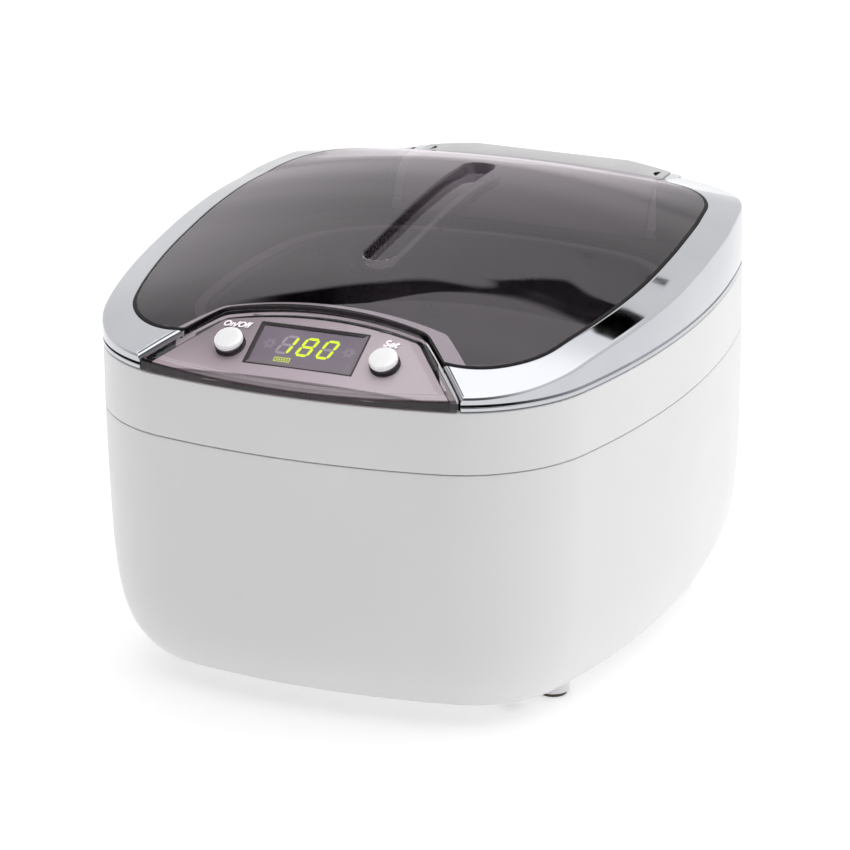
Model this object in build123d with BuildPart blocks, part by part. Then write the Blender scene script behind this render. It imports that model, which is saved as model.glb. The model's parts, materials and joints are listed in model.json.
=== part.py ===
from build123d import *
import os
from math import sqrt, radians, sin, cos, tan, atan2, degrees, pi

# Benchtop digital ultrasonic cleaner for contact lenses, dentures and jewellery.
# Frame: +Z up, origin on the table under the middle of the plan, front faces -Y.
# All sizes in millimetres.

# ---------------------------------------------------------------- driving sizes
HALF_W = 91.0          # half width of the white band
HALF_D = 104.9         # half depth of the white band
R_SIDE = 280.0         # plan radius of the side walls
R_FRONT = 249.5        # plan radius of the front and rear walls
R_CORNER = 45.5        # plan radius of the corners
WALL = 2.6             # shell thickness
Z_BOTTOM = 3.2         # underside of the tub
Z_SEAM = 88.5          # seam between tub and white band
Z_BAND = 108.8         # top edge of the white band
Z_DECK = 106.4         # upper face of the deck inside the band
Z_RIM = 109.15         # lower edge of the lid rim
FOOT_X, FOOT_Y = 65.0, 50.5
FOOT_D = 8.6
POST_X, POST_Y = 57.0, 66.0
SHANK_D = 2.9

# lid window plan
WIN_A, WIN_BF, WIN_BR = 81.0, 89.7, 81.0
WIN_RS, WIN_RF, WIN_RR, WIN_RC = 273.0, 570.0, 560.0, 30.8
WIN_T = 2.4            # window thickness
RIM_T = 2.2            # rim thickness

# tank (about 850 ml)
TANK_A, TANK_B, TANK_Y = 66.0, 65.0, 7.0
TANK_T = 0.8
TANK_DEPTH = 58.0
Z_FLANGE = 107.4       # underside of the tank flange

# control panel: rises towards the rear, slightly crowned from side to side
PAN_SLOPE = 0.57
PAN_Y, PAN_Z = -91.8, 118.72
PAN_ANG = atan2(PAN_SLOPE, 1.0)
PAN_CROWN = 970.0      # radius of the crown
PAN_W = 54.4           # half width at the front
PAN_TOP_X, PAN_TOP_Y, PAN_TOP_MID = 36.0, -80.75, -75.5
COVER_T = 1.4
PLATE_T = 0.5
DISP_W, DISP_H = 37.8, 17.8
DISP_X, DISP_LY = -1.95, 3.95                 # display centre on the panel (local)
DISP_T = 1.3                                  # display window thickness
MOD_W, MOD_H, MOD_LY = 34.4, 14.4, 2.6        # display module behind it
BTNS = [(-27.3, 1.5), (26.0, 1.5)]            # button centres on the panel (local)
BTN_D = 9.2
BTN_H = 2.2            # how far the caps stand out
BTN_TRAVEL = 0.6

# rear hinge
HINGE_Y, HINGE_Z = 96.5, 112.5
HINGE_R = 18.5
HINGE_HALF = 44.2
PIN_D = 3.0

PAN = Plane(origin=(0, PAN_Y, PAN_Z), x_dir=(1, 0, 0),
            z_dir=(0, -sin(PAN_ANG), cos(PAN_ANG)))


def pan_z(x, y):
    """height of the panel surface above the table"""
    return PAN_Z + PAN_SLOPE * (y - PAN_Y) - x * x / (2 * PAN_CROWN) / cos(PAN_ANG)


def outline(a, b, rs, rf, rc, cy=0.0, br=None, rr=None):
    """closed plan curve of eight tangent arcs, drawn into the active line builder"""
    br = b if br is None else br
    rr = rf if rr is None else rr
    cs = (a - rs, 0.0)
    cf = (0.0, -b + rf)
    cr = (0.0, br - rr)

    def corner(c1, r1, c2, r2, up):
        d1, d2 = r1 - rc, r2 - rc
        vx, vy = c2[0] - c1[0], c2[1] - c1[1]
        ln = sqrt(vx * vx + vy * vy)
        ex, ey = vx / ln, vy / ln
        x = (d1 * d1 - d2 * d2 + ln * ln) / (2 * ln)
        h = sqrt(max(d1 * d1 - x * x, 0.0))
        k = [(c1[0] + ex * x - ey * s * h, c1[1] + ey * x + ex * s * h) for s in (1, -1)]
        return max(k, key=lambda q: q[0] + up * q[1])

    kf = corner(cs, rs, cf, rf, -1)
    kr = corner(cs, rs, cr, rr, 1)

    def on(c, r, t):
        return (c[0] + r * cos(t), c[1] + r * sin(t) + cy)

    def ang(p, c):
        return atan2(p[1] - c[1], p[0] - c[0])

    t_f, t_s0, t_s1, t_r = ang(kf, cf), ang(kf, cs), ang(kr, cs), ang(kr, cr)

    def flip(p):
        return (-p[0], p[1])

    f0, s0 = on(kf, rc, t_f), on(kf, rc, t_s0)
    s1, r0 = on(kr, rc, t_s1), on(kr, rc, t_r)
    mid_f = on(kf, rc, (t_f + t_s0) / 2)
    mid_s = on(cs, rs, (t_s0 + t_s1) / 2)
    mid_r = on(kr, rc, (t_s1 + t_r) / 2)
    ThreePointArc(flip(f0), on(cf, rf, -pi / 2), f0)
    ThreePointArc(f0, mid_f, s0)
    ThreePointArc(s0, mid_s, s1)
    ThreePointArc(s1, mid_r, r0)
    ThreePointArc(r0, on(cr, rr, pi / 2), flip(r0))
    ThreePointArc(flip(r0), flip(mid_r), flip(s1))
    ThreePointArc(flip(s1), flip(mid_s), flip(s0))
    ThreePointArc(flip(s0), flip(mid_f), flip(f0))


def body_outline(d, rc=R_CORNER):
    """plan of the body set in by d"""
    outline(HALF_W - d, HALF_D - d, R_SIDE - d, R_FRONT - d, max(rc - d, 12.0))


def window_outline(d):
    """plan of the lid window grown by d"""
    outline(WIN_A + d, WIN_BF + d, WIN_RS + d, WIN_RF + d, WIN_RC + d,
            br=WIN_BR + d, rr=WIN_RR + d)


def wall_y(x, d=0.0):
    """front wall of the body at x"""
    r = R_FRONT - d
    return -(HALF_D - d) + r - sqrt(r * r - x * x)


PAN_RT = 172.0         # plan radius of the panel's rear edge
PAN_RF = 7.0           # plan radius of its rear corners


def panel_outline(g=0.0, rc=PAN_RF):
    """plan of the control panel cover, grown by g, with rear corners of radius rc + g"""
    cf, rf = -HALF_D + R_FRONT, R_FRONT + g
    ct, rt = PAN_TOP_MID - PAN_RT, PAN_RT + g
    # side line through the front corner and the rear corner
    x0, y0 = PAN_W, wall_y(PAN_W)
    dx, dy = PAN_TOP_X - x0, PAN_TOP_Y - y0
    ln = sqrt(dx * dx + dy * dy)
    ux, uy = dx / ln, dy / ln
    nx, ny = uy, -ux                      # outward normal of the right side
    # centre of the corner arc: rc inside the line and inside the rear arc
    qx, qy = x0 - nx * rc, y0 - ny * rc
    bq = ux * qx + uy * (qy - ct)
    cq = qx * qx + (qy - ct) ** 2 - (PAN_RT - rc) ** 2
    t = -bq + sqrt(bq * bq - cq)
    kx, ky = qx + ux * t, qy + uy * t
    rk = rc + g
    s1 = (kx + nx * rk, ky + ny * rk)     # line meets the corner arc
    kl = sqrt(kx * kx + (ky - ct) ** 2)
    mx, my = kx / kl, (ky - ct) / kl
    s2 = (kx + mx * rk, ky + my * rk)     # corner arc meets the rear arc
    hx, hy = nx + mx, ny + my
    hl = sqrt(hx * hx + hy * hy)
    sm = (kx + hx / hl * rk, ky + hy / hl * rk)
    # line meets the front arc
    px, py = x0 + nx * g, y0 + ny * g
    bq = ux * px + uy * (py - cf)
    cq = px * px + (py - cf) ** 2 - rf * rf
    r = sqrt(bq * bq - cq)
    t = min((-bq + r, -bq - r), key=abs)
    f0 = (px + ux * t, py + uy * t)

    def flip(p):
        return (-p[0], p[1])

    ThreePointArc(flip(f0), (0, cf - rf), f0)
    Line(f0, s1)
    ThreePointArc(s1, sm, s2)
    ThreePointArc(s2, (0, ct + rt), flip(s2))
    ThreePointArc(flip(s2), flip(sm), flip(s1))
    Line(flip(s1), flip(f0))


# --------------------------------------------------------------- lid roof shape
ROOF_MID = [(-118, 110.5), (-108, 115.2), (-98, 119.6), (-88, 124.0), (-77, 128.0), (-60, 131.8),
            (-39, 135.0), (-15, 138.2), (11, 141.2), (30, 142.2), (45, 141.8), (60, 139.4),
            (72, 136.4), (81, 133.4), (90, 130.9), (100, 128.6), (110, 126.4), (118, 124.6)]
ROOF_DROP = [(-118, 12.6), (-88, 12.3), (-60, 11.4), (-40, 11.5), (0, 12.0), (40, 11.6), (60, 9.0),
             (72, 6.6), (81, 5.2), (100, 4.5), (118, 4.5)]


def table(t, y):
    """smooth value of a table at y (monotone cubic)"""
    n = len(t)
    h = [t[i + 1][0] - t[i][0] for i in range(n - 1)]
    s = [(t[i + 1][1] - t[i][1]) / h[i] for i in range(n - 1)]
    m = [s[0]]
    for i in range(1, n - 1):
        if s[i - 1] * s[i] <= 0:
            m.append(0.0)
        else:
            w1, w2 = 2 * h[i] + h[i - 1], h[i] + 2 * h[i - 1]
            m.append((w1 + w2) / (w1 / s[i - 1] + w2 / s[i]))
    m.append(s[-1])
    y = min(max(y, t[0][0]), t[-1][0])
    i = max(k for k in range(n - 1) if t[k][0] <= y)
    u = (y - t[i][0]) / h[i]
    return ((2 * u**3 - 3 * u**2 + 1) * t[i][1] + (u**3 - 2 * u**2 + u) * h[i] * m[i]
            + (-2 * u**3 + 3 * u**2) * t[i + 1][1] + (u**3 - u**2) * h[i] * m[i + 1])


def roof_z(x, y):
    return table(ROOF_MID, y) - table(ROOF_DROP, y) * (x / 81.0) ** 2


def roof_face(dz):
    """the lid roof as one surface, lowered by dz"""
    xs = [-104 + 8.0 * i for i in range(27)]
    ys = [-116 + 8.0 * j for j in range(30)]
    pts = [[Vector(x, y, roof_z(x, y) - dz) for y in ys] for x in xs]
    return Face.make_surface_from_array_of_points(pts, tol=0.02, min_deg=3, max_deg=5)


def above(dz):
    """everything above the roof lowered by dz"""
    return Solid.extrude(roof_face(dz), Vector(0, 0, 90))


def below(dz):
    """everything below the roof lowered by dz"""
    return Solid.extrude(roof_face(dz), Vector(0, 0, -140))



def prism(draw, z0, z1, *grow):
    """straight prism on a plan curve"""
    with BuildPart() as p:
        with BuildSketch(Plane.XY.offset(z0)):
            with BuildLine():
                draw(*grow)
            make_face()
        extrude(amount=z1 - z0)
    return p.part


def block(x0, x1, y0, y1, z0, z1):
    with BuildPart() as p:
        with BuildSketch(Plane.XY.offset(z0)):
            with Locations(((x0 + x1) / 2, (y0 + y1) / 2)):
                Rectangle(x1 - x0, y1 - y0)
        extrude(amount=z1 - z0)
    return p.part


def above_panel(d, h=60.0):
    """everything above the crowned panel surface lowered by d, up to h higher"""
    w = 120.0
    sag = PAN_CROWN - sqrt(PAN_CROWN * PAN_CROWN - w * w)
    across = Plane(origin=(0, PAN_Y, PAN_Z), x_dir=(-1, 0, 0), z_dir=(0, cos(PAN_ANG), sin(PAN_ANG)))
    with BuildPart() as p:
        with BuildSketch(across.offset(-80)):
            with BuildLine():
                ThreePointArc((-w, -d - sag), (0, -d), (w, -d - sag))
                Line((w, -d - sag), (w, h - d - sag))
                ThreePointArc((w, h - d - sag), (0, h - d), (-w, h - d - sag))
                Line((-w, h - d - sag), (-w, -d - sag))
            make_face()
        extrude(amount=160)
    return p.part


def barrel(r, half):
    """cylinder about the hinge axis"""
    with BuildPart() as p:
        with BuildSketch(Plane.YZ.offset(-half)):
            with Locations((HINGE_Y, HINGE_Z)):
                Circle(r)
        extrude(amount=2 * half)
    return p.part


# tub sections: height, side inset, front inset, corner radius
TUB = [(3.2, 20.6, 23.4, 29.0), (4.2, 16.6, 19.2, 30.0), (6.4, 13.2, 15.4, 31.0), (10.5, 9.6, 11.2, 33.0),
       (17.5, 5.9, 6.9, 36.0), (28.0, 3.0, 3.7, 40.0), (43.0, 1.4, 1.7, 43.0),
       (64.0, 0.5, 0.6, 45.0), (90.0, 0.0, 0.0, R_CORNER)]
TUB_LEVELS = [3.2, 3.6, 4.2, 5.0, 6.0, 7.4, 9.2, 11.5, 14.3, 17.6, 21.6, 26.5, 32.5, 40.0, 50.0, 64.0, Z_SEAM - 0.3]
TUB_IN_LEVELS = [5.9, 7.0, 8.6, 10.6, 13.2, 16.4, 20.2, 25.0, 31.0, 39.0, 49.0, 63.0, Z_SEAM + 0.5]


def tub_section(z):
    """side inset, front inset and corner radius of the tub at height z"""
    return [table([(t[0], t[k]) for t in TUB], z) for k in (1, 2, 3)]


def tub_inner(z):
    """the same for the inner wall"""
    ds, df, rc = tub_section(max(z - 1.9, 3.6))
    k = WALL + 0.25 * min(ds, 6.0) / 6.0
    return [ds + k, df + k, rc - WALL]


os.makedirs("parts", exist_ok=True)


def save(builder, label):
    builder.part.label = label
    export_step(builder.part, "parts/" + label + ".step")
    print(label, len(builder.part.solids()), round(builder.part.volume, 1))


CORNERS = [(sx * POST_X, sy * POST_Y) for sx in (-1, 1) for sy in (-1, 1)]
FEET = [(sx * FOOT_X, sy * FOOT_Y) for sx in (-1, 1) for sy in (-1, 1)]

# ================================================================ lower housing
INLET_X, INLET_Z = 34.0, 32.0
with BuildPart() as lower_housing:
    for z in TUB_LEVELS:
        ds, df, rc = tub_section(z)
        with BuildSketch(Plane.XY.offset(z)):
            with BuildLine():
                outline(HALF_W - ds, HALF_D - df, R_SIDE - ds, R_FRONT - df, rc)
            make_face()
    loft(ruled=True)
    # foot bosses under the tub
    with BuildSketch(Plane.XY.offset(1.3)):
        with Locations(*FEET):
            Circle(5.1)
    extrude(amount=5.5)
    # hollow inside, open at the top
    for z in TUB_IN_LEVELS:
        ds, df, rc = tub_inner(z)
        with BuildSketch(Plane.XY.offset(z)):
            with BuildLine():
                outline(HALF_W - ds, HALF_D - df, R_SIDE - ds, R_FRONT - df, rc)
            make_face()
    loft(ruled=True, mode=Mode.SUBTRACT)
    # screw towers that meet the posts of the upper housing
    with BuildSketch(Plane.XY.offset(5.4)):
        with Locations(*CORNERS):
            Circle(4.6)
    extrude(amount=24.6)
    # standoffs for the driver board
    with BuildSketch(Plane.XY.offset(5.6)):
        with Locations((-36, 40), (36, 40), (-36, 74), (36, 74)):
            Circle(3.2)
    extrude(amount=7.4)
    with BuildSketch(Plane.XY.offset(8.0)):
        with Locations((-36, 40), (36, 40), (-36, 74), (36, 74)):
            Circle(1.15)
    extrude(amount=8.0, mode=Mode.SUBTRACT)
    # screw holes with deep counterbores
    with BuildSketch(Plane.XY.offset(0)):
        with Locations(*CORNERS):
            Circle(3.1)
    extrude(amount=12.0, mode=Mode.SUBTRACT)
    with BuildSketch(Plane.XY.offset(0)):
        with Locations(*CORNERS):
            Circle(1.7)
    extrude(amount=40.0, mode=Mode.SUBTRACT)
    # sockets of the rubber feet
    with BuildSketch(Plane.XY.offset(0)):
        with Locations(*FEET):
            Circle(2.0)
    extrude(amount=4.3, mode=Mode.SUBTRACT)
    # cooling slots in the floor
    with BuildSketch(Plane.XY.offset(2.0)):
        with GridLocations(26.0, 5.6, 2, 9):
            SlotOverall(20.0, 2.4)
    extrude(amount=5.0, mode=Mode.SUBTRACT)
    # opening for the power inlet in the rear wall
    with BuildSketch(Plane(origin=(INLET_X, 88, INLET_Z), x_dir=(1, 0, 0), z_dir=(0, 1, 0))):
        RectangleRounded(20.6, 12.6, 3.0)
    extrude(amount=22.0, mode=Mode.SUBTRACT)
save(lower_housing, "lower_housing")

with BuildPart() as rubber_feet:
    with BuildSketch(Plane.XY):
        with Locations(*FEET):
            Circle(FOOT_D / 2)
    extrude(amount=1.3)
    fillet(rubber_feet.edges().group_by(Axis.Z)[0], radius=0.4)
    with BuildSketch(Plane.XY.offset(1.3)):
        with Locations(*FEET):
            Circle(2.0)
    extrude(amount=3.0)
save(rubber_feet, "rubber_feet")

# ================================================================ upper housing
SHOULDER = 9.0
IN_COVER = COVER_T + 0.3
core_solid = prism(panel_outline, 104.6, 150, -IN_COVER) - above_panel(COVER_T + PLATE_T + 0.05)
shoulder_solid = (prism(panel_outline, 104.6, 150, SHOULDER, -4.5)
                  & prism(lambda: window_outline(-3.4), 104, 150)
                  & block(-80, 80, -87.4, -40, 100, 150)) - above(3.4)
shoulder_solid = shoulder_solid - (prism(panel_outline, 100, 150, 1.3) & above_panel(COVER_T + PLATE_T + 0.05, 40))
channel = (prism(panel_outline, Z_BAND, 150, 1.3) & above_panel(4.4, 40)) - prism(panel_outline, 99, 151, -IN_COVER)
core_cavity = prism(panel_outline, 100, 150, -3.3) - above_panel(4.2)
shoulder_cavity = ((prism(panel_outline, 100, 150, SHOULDER - 2.0, -4.5)
                    & prism(lambda: window_outline(-5.6), 99, 150)
                    & block(-80, 80, -85.2, -40, 99, 150)) - above(5.6)) - above_panel(6.6)
hinge_cap = barrel(HINGE_R, HINGE_HALF) & prism(lambda: body_outline(0.0), 100, 140)
hinge_in = barrel(HINGE_R - 2.4, HINGE_HALF - 2.6) & prism(lambda: body_outline(2.6), 90, 140)

with BuildPart() as upper_housing:
    # white band
    with BuildSketch(Plane.XY.offset(Z_SEAM)):
        with BuildLine():
            body_outline(0.0)
        make_face()
    extrude(amount=Z_BAND - Z_SEAM)
    fillet(upper_housing.edges().group_by(Axis.Z)[-1], radius=0.5)
    fillet(upper_housing.edges().group_by(Axis.Z)[0], radius=0.3)
    with BuildSketch(Plane.XY.offset(Z_SEAM - 1)):
        with BuildLine():
            body_outline(WALL)
        make_face()
    extrude(amount=40, mode=Mode.SUBTRACT)
    # tongue that centres the band in the tub
    with BuildSketch(Plane.XY.offset(Z_SEAM - 3.0)):
        with BuildLine():
            body_outline(WALL + 0.3)
        make_face()
    extrude(amount=3.2)
    with BuildSketch(Plane.XY.offset(Z_SEAM + 0.2)):
        with BuildLine():
            body_outline(WALL - 0.4)
        make_face()
    extrude(amount=2.8)
    with BuildSketch(Plane.XY.offset(Z_SEAM - 4.0)):
        with BuildLine():
            body_outline(WALL + 1.6)
        make_face()
    extrude(amount=8.0, mode=Mode.SUBTRACT)
    # deck
    with BuildSketch(Plane.XY.offset(Z_DECK - 2.0)):
        with BuildLine():
            body_outline(WALL - 0.2)
        make_face()
    extrude(amount=2.0)
    # control console, its shoulder under the window, and the hinge block
    add(core_solid)
    add(shoulder_solid)
    add(hinge_cap)
    add(core_cavity, mode=Mode.SUBTRACT)
    add(shoulder_cavity, mode=Mode.SUBTRACT)
    add(channel, mode=Mode.SUBTRACT)
    add(hinge_in, mode=Mode.SUBTRACT)
    # crowned top of the hinge block
    with BuildSketch(Plane.XZ.offset(-130)):
        with BuildLine():
            ThreePointArc((-60, 125.8), (0, 130.8), (60, 125.8))
            Polyline((60, 125.8), (60, 150), (-60, 150), (-60, 125.8))
        make_face()
    extrude(amount=60, mode=Mode.SUBTRACT)
    # tank opening
    with BuildSketch(Plane.XY.offset(100)):
        with BuildLine():
            outline(TANK_A + 1.2, TANK_B + 1.2, 200, 180, 37.2, cy=TANK_Y)
        make_face()
    extrude(amount=8, mode=Mode.SUBTRACT)
    # bores for the hinge pins in the end walls of the hinge block
    with BuildSketch(Plane.YZ.offset(-60)):
        with Locations((HINGE_Y, HINGE_Z)):
            Circle(PIN_D / 2)
    extrude(amount=120, mode=Mode.SUBTRACT)
    # seat of the display window, opening behind it and button holes
    with BuildSketch(PAN.offset(-COVER_T - 0.4 - DISP_T - 0.05)):
        with Locations((DISP_X, DISP_LY)):
            Rectangle(DISP_W + 0.2, DISP_H + 0.2)
    extrude(amount=5, mode=Mode.SUBTRACT)
    with BuildSketch(PAN.offset(-6)):
        with Locations((DISP_X, MOD_LY)):
            Rectangle(MOD_W + 0.4, MOD_H + 0.4)
        with Locations(*BTNS):
            Circle(BTN_D / 2 + 0.4)
    extrude(amount=8, mode=Mode.SUBTRACT)
    # posts with pilot holes
    with BuildSketch(Plane.XY.offset(30.0)):
        with Locations(*CORNERS):
            Circle(4.2)
    extrude(amount=75.0)
    with BuildSketch(Plane.XY.offset(29.0)):
        with Locations(*CORNERS):
            Circle(SHANK_D / 2)
    extrude(amount=22.0, mode=Mode.SUBTRACT)
    # bosses for the screws of the panel board
    with BuildSketch(PAN.offset(-10.4)):
        with Locations((-33.6, -6.0), (33.6, -6.0)):
            Circle(2.6)
    extrude(amount=7.4)
    with BuildSketch(PAN.offset(-11)):
        with Locations((-33.6, -6.0), (33.6, -6.0)):
            Circle(1.1)
    extrude(amount=6.0, mode=Mode.SUBTRACT)
save(upper_housing, "upper_housing")

with BuildPart() as housing_screws:
    # pan heads in the counterbores, shanks up into the posts
    with BuildSketch(Plane.XY.offset(9.6)):
        with Locations(*CORNERS):
            Circle(2.8)
    extrude(amount=2.4)
    with BuildSketch(Plane.XY.offset(9.6)):
        with Locations(*CORNERS):
            Rectangle(3.4, 0.7)
            Rectangle(0.7, 3.4)
    extrude(amount=1.2, mode=Mode.SUBTRACT)
    with BuildSketch(Plane.XY.offset(12.0)):
        with Locations(*CORNERS):
            Circle(SHANK_D / 2)
    extrude(amount=32.0)
save(housing_screws, "housing_screws")

with BuildPart() as lid_bumpers:
    with BuildSketch(Plane.XY.offset(Z_DECK)):
        with Locations((-67, -59), (67, -59)):
            Circle(3.0)
    extrude(amount=2.9)
    fillet(lid_bumpers.edges().group_by(Axis.Z)[-1], radius=0.8)
save(lid_bumpers, "lid_bumpers")

# ================================================================ tank
with BuildPart() as tank:
    with BuildSketch(Plane.XY.offset(Z_FLANGE)):
        with BuildLine():
            outline(TANK_A, TANK_B, 200, 180, 36, cy=TANK_Y)
        make_face()
    extrude(amount=-(TANK_DEPTH - 0.6), taper=2.5)
    fillet(tank.edges().group_by(Axis.Z)[0], radius=12.0)
    with BuildSketch(Plane.XY.offset(Z_FLANGE)):
        with BuildLine():
            outline(TANK_A + 6.0, TANK_B + 6.0, 206, 186, 42, cy=TANK_Y)
        make_face()
    extrude(amount=TANK_T)
with BuildPart() as tank_space:
    with BuildSketch(Plane.XY.offset(Z_FLANGE + TANK_T)):
        with BuildLine():
            outline(TANK_A - TANK_T + 0.03, TANK_B - TANK_T + 0.03, 199.2, 179.2, 35.2, cy=TANK_Y)
        make_face()
    extrude(amount=-(TANK_DEPTH - 0.6), taper=2.5)
    fillet(tank_space.edges().group_by(Axis.Z)[0], radius=11.2)
with BuildPart() as tank_shell:
    add(tank.part)
    add(tank_space.part, mode=Mode.SUBTRACT)
    inner_mouth = [e for e in tank_shell.edges().group_by(Axis.Z)[-1]
                   if abs(e.center().X) < TANK_A + 1 and abs(e.center().Y - TANK_Y) < TANK_B + 1]
tank_shell.part.label = "tank"
save(tank_shell, "tank")

with BuildPart() as tank_gasket:
    with BuildSketch(Plane.XY.offset(Z_DECK)):
        with BuildLine():
            outline(TANK_A + 5.4, TANK_B + 5.4, 205.4, 185.4, 41.4, cy=TANK_Y)
        make_face()
        with BuildLine():
            outline(TANK_A + 1.8, TANK_B + 1.8, 201.8, 181.8, 37.8, cy=TANK_Y)
        make_face(mode=Mode.SUBTRACT)
    extrude(amount=Z_FLANGE - Z_DECK)
save(tank_gasket, "tank_gasket")

# ================================================================ transducer stack
Z_TANK_BOTTOM = Z_FLANGE - (TANK_DEPTH - 0.6)
TX, TY = 0.0, TANK_Y
STACK = Plane(origin=(TX, TY, Z_TANK_BOTTOM), x_dir=(1, 0, 0), z_dir=(0, 0, -1))
with BuildPart() as transducer_horn:
    with BuildSketch(Plane(origin=(TX, TY, 0), x_dir=(1, 0, 0), z_dir=(0, -1, 0))):
        with BuildLine():
            z0 = Z_TANK_BOTTOM
            Polyline((0, z0), (22.5, z0), (22.5, z0 - 3.0), (18.0, z0 - 16.0), (18.0, z0 - 19.0), (0, z0 - 19.0), (0, z0))
        make_face()
    revolve(axis=Axis((TX, TY, 0), (0, 0, 1)))
    with BuildSketch(STACK.offset(10.0)):
        Circle(4.0)
    extrude(amount=10.0, mode=Mode.SUBTRACT)
save(transducer_horn, "transducer_horn")
with BuildPart() as piezo_rings:
    for d in (19.0, 24.3):
        with BuildSketch(STACK.offset(d)):
            Circle(17.5)
            Circle(6.0, mode=Mode.SUBTRACT)
        extrude(amount=5.0)
save(piezo_rings, "piezo_rings")
with BuildPart() as electrode_tabs:
    with BuildSketch(STACK.offset(24.0)):
        Circle(17.0)
        with Locations((0, 20.0)):
            Rectangle(5.0, 10.0)
        Circle(6.0, mode=Mode.SUBTRACT)
    extrude(amount=0.3)
    with BuildSketch(STACK.offset(29.3)):
        Circle(17.0)
        with Locations((14.0, 14.0)):
            Rectangle(9.0, 9.0, rotation=45)
        Circle(6.0, mode=Mode.SUBTRACT)
    extrude(amount=0.3)
save(electrode_tabs, "electrode_tabs")
with BuildPart() as transducer_backmass:
    with BuildSketch(STACK.offset(29.6)):
        Circle(18.0)
        Circle(4.2, mode=Mode.SUBTRACT)
    extrude(amount=5.4)
    fillet(transducer_backmass.edges().group_by(Axis.Z)[0], radius=0.8)
save(transducer_backmass, "transducer_backmass")
with BuildPart() as transducer_bolt:
    with BuildSketch(STACK.offset(35.0)):
        RegularPolygon(6.5, 6)
    extrude(amount=3.6)
    with BuildSketch(STACK.offset(10.0)):
        Circle(4.0)
    extrude(amount=25.0)
save(transducer_bolt, "transducer_bolt")

# ================================================================ driver board and power parts
BZ = 13.0
with BuildPart() as driver_board:
    with BuildSketch(Plane.XY.offset(BZ)):
        with Locations((0, 57)):
            RectangleRounded(84, 44, 2.0)
        with Locations((-36, 40), (36, 40), (-36, 74), (36, 74)):
            Circle(1.15, mode=Mode.SUBTRACT)
    extrude(amount=1.6)
save(driver_board, "driver_board")
with BuildPart() as board_screws:
    pts = [(-36, 40), (36, 40), (-36, 74), (36, 74)]
    with BuildSketch(Plane.XY.offset(BZ + 1.6)):
        with Locations(*pts):
            Circle(2.4)
    extrude(amount=1.6)
    with BuildSketch(Plane.XY.offset(BZ + 2.6)):
        with Locations(*pts):
            Rectangle(3.0, 0.6)
            Rectangle(0.6, 3.0)
    extrude(amount=1.0, mode=Mode.SUBTRACT)
    with BuildSketch(Plane.XY.offset(8.2)):
        with Locations(*pts):
            Circle(1.15)
    extrude(amount=BZ + 1.6 - 8.2)
save(board_screws, "board_screws")
BT = BZ + 1.6
with BuildPart() as board_transformer:
    # ferrite core around a wound bobbin
    with BuildSketch(Plane.XY.offset(BT)):
        with Locations((-20, 60)):
            Rectangle(22, 18)
    extrude(amount=18)
    fillet(board_transformer.edges().filter_by(Axis.Z), radius=1.0)
    with BuildSketch(Plane.XY.offset(BT + 2)):
        with Locations((-20, 60)):
            Rectangle(15, 25)
    extrude(amount=13)
save(board_transformer, "board_transformer")
with BuildPart() as board_inductor:
    with BuildSketch(Plane.XY.offset(BT)):
        with Locations((8, 66)):
            Circle(8.5)
            Circle(3.4, mode=Mode.SUBTRACT)
    extrude(amount=8.5)
    fillet(board_inductor.edges().filter_by(GeomType.CIRCLE), radius=1.6)
save(board_inductor, "board_inductor")
with BuildPart() as board_capacitors:
    with BuildSketch(Plane.XY.offset(BT)):
        with Locations((4, 47), (16, 47)):
            Circle(5.0)
    extrude(amount=17)
    with BuildSketch(Plane.XY.offset(BT)):
        with Locations((27, 73)):
            Rectangle(9, 5)
    extrude(amount=11)
    chamfer(board_capacitors.edges().group_by(Axis.Z)[-1], length=0.6)
save(board_capacitors, "board_capacitors")
with BuildPart() as heatsink:
    with BuildSketch(Plane.XY.offset(BT)):
        with Locations((29, 54)):
            Rectangle(3.0, 24)
        with Locations(*[(33.0, 54 + 4.2 * i) for i in range(-2, 3)]):
            Rectangle(6.0, 1.4)
    extrude(amount=22)
save(heatsink, "heatsink")
with BuildPart() as power_transistors:
    with BuildSketch(Plane.XY.offset(BT + 4)):
        with Locations((25.2, 49), (25.2, 60)):
            Rectangle(4.6, 9.4)
    extrude(amount=14)
    with BuildSketch(Plane.XY.offset(BT)):
        with Locations(*[(25.2, y0 + dy) for y0 in (49, 60) for dy in (-2.5, 0, 2.5)]):
            Rectangle(0.8, 0.9)
    extrude(amount=4)
save(power_transistors, "power_transistors")

# ================================================================ power inlet
IN = Plane(origin=(INLET_X, 0, INLET_Z), x_dir=(-1, 0, 0), z_dir=(0, 1, 0))
INLET_FACE = 101.0
with BuildPart() as power_inlet:
    # flange outside, body inside, figure of eight socket
    with BuildSketch(IN.offset(INLET_FACE - 12.0)):
        RectangleRounded(20.4, 12.4, 2.9)
    extrude(amount=12.0)
    with BuildSketch(IN.offset(INLET_FACE - 9.0)):
        with Locations((-4.1, 0), (4.1, 0)):
            Circle(4.1)
        Rectangle(8.2, 6.2)
    extrude(amount=9.0, mode=Mode.SUBTRACT)
save(power_inlet, "power_inlet")
with BuildPart() as inlet_pins:
    with BuildSketch(IN.offset(INLET_FACE - 9.0)):
        with Locations((-4.1, 0), (4.1, 0)):
            Circle(1.2)
    extrude(amount=6.5)
    fillet(inlet_pins.edges().group_by(Axis.Y)[-1], radius=0.8)
save(inlet_pins, "inlet_pins")

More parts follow.
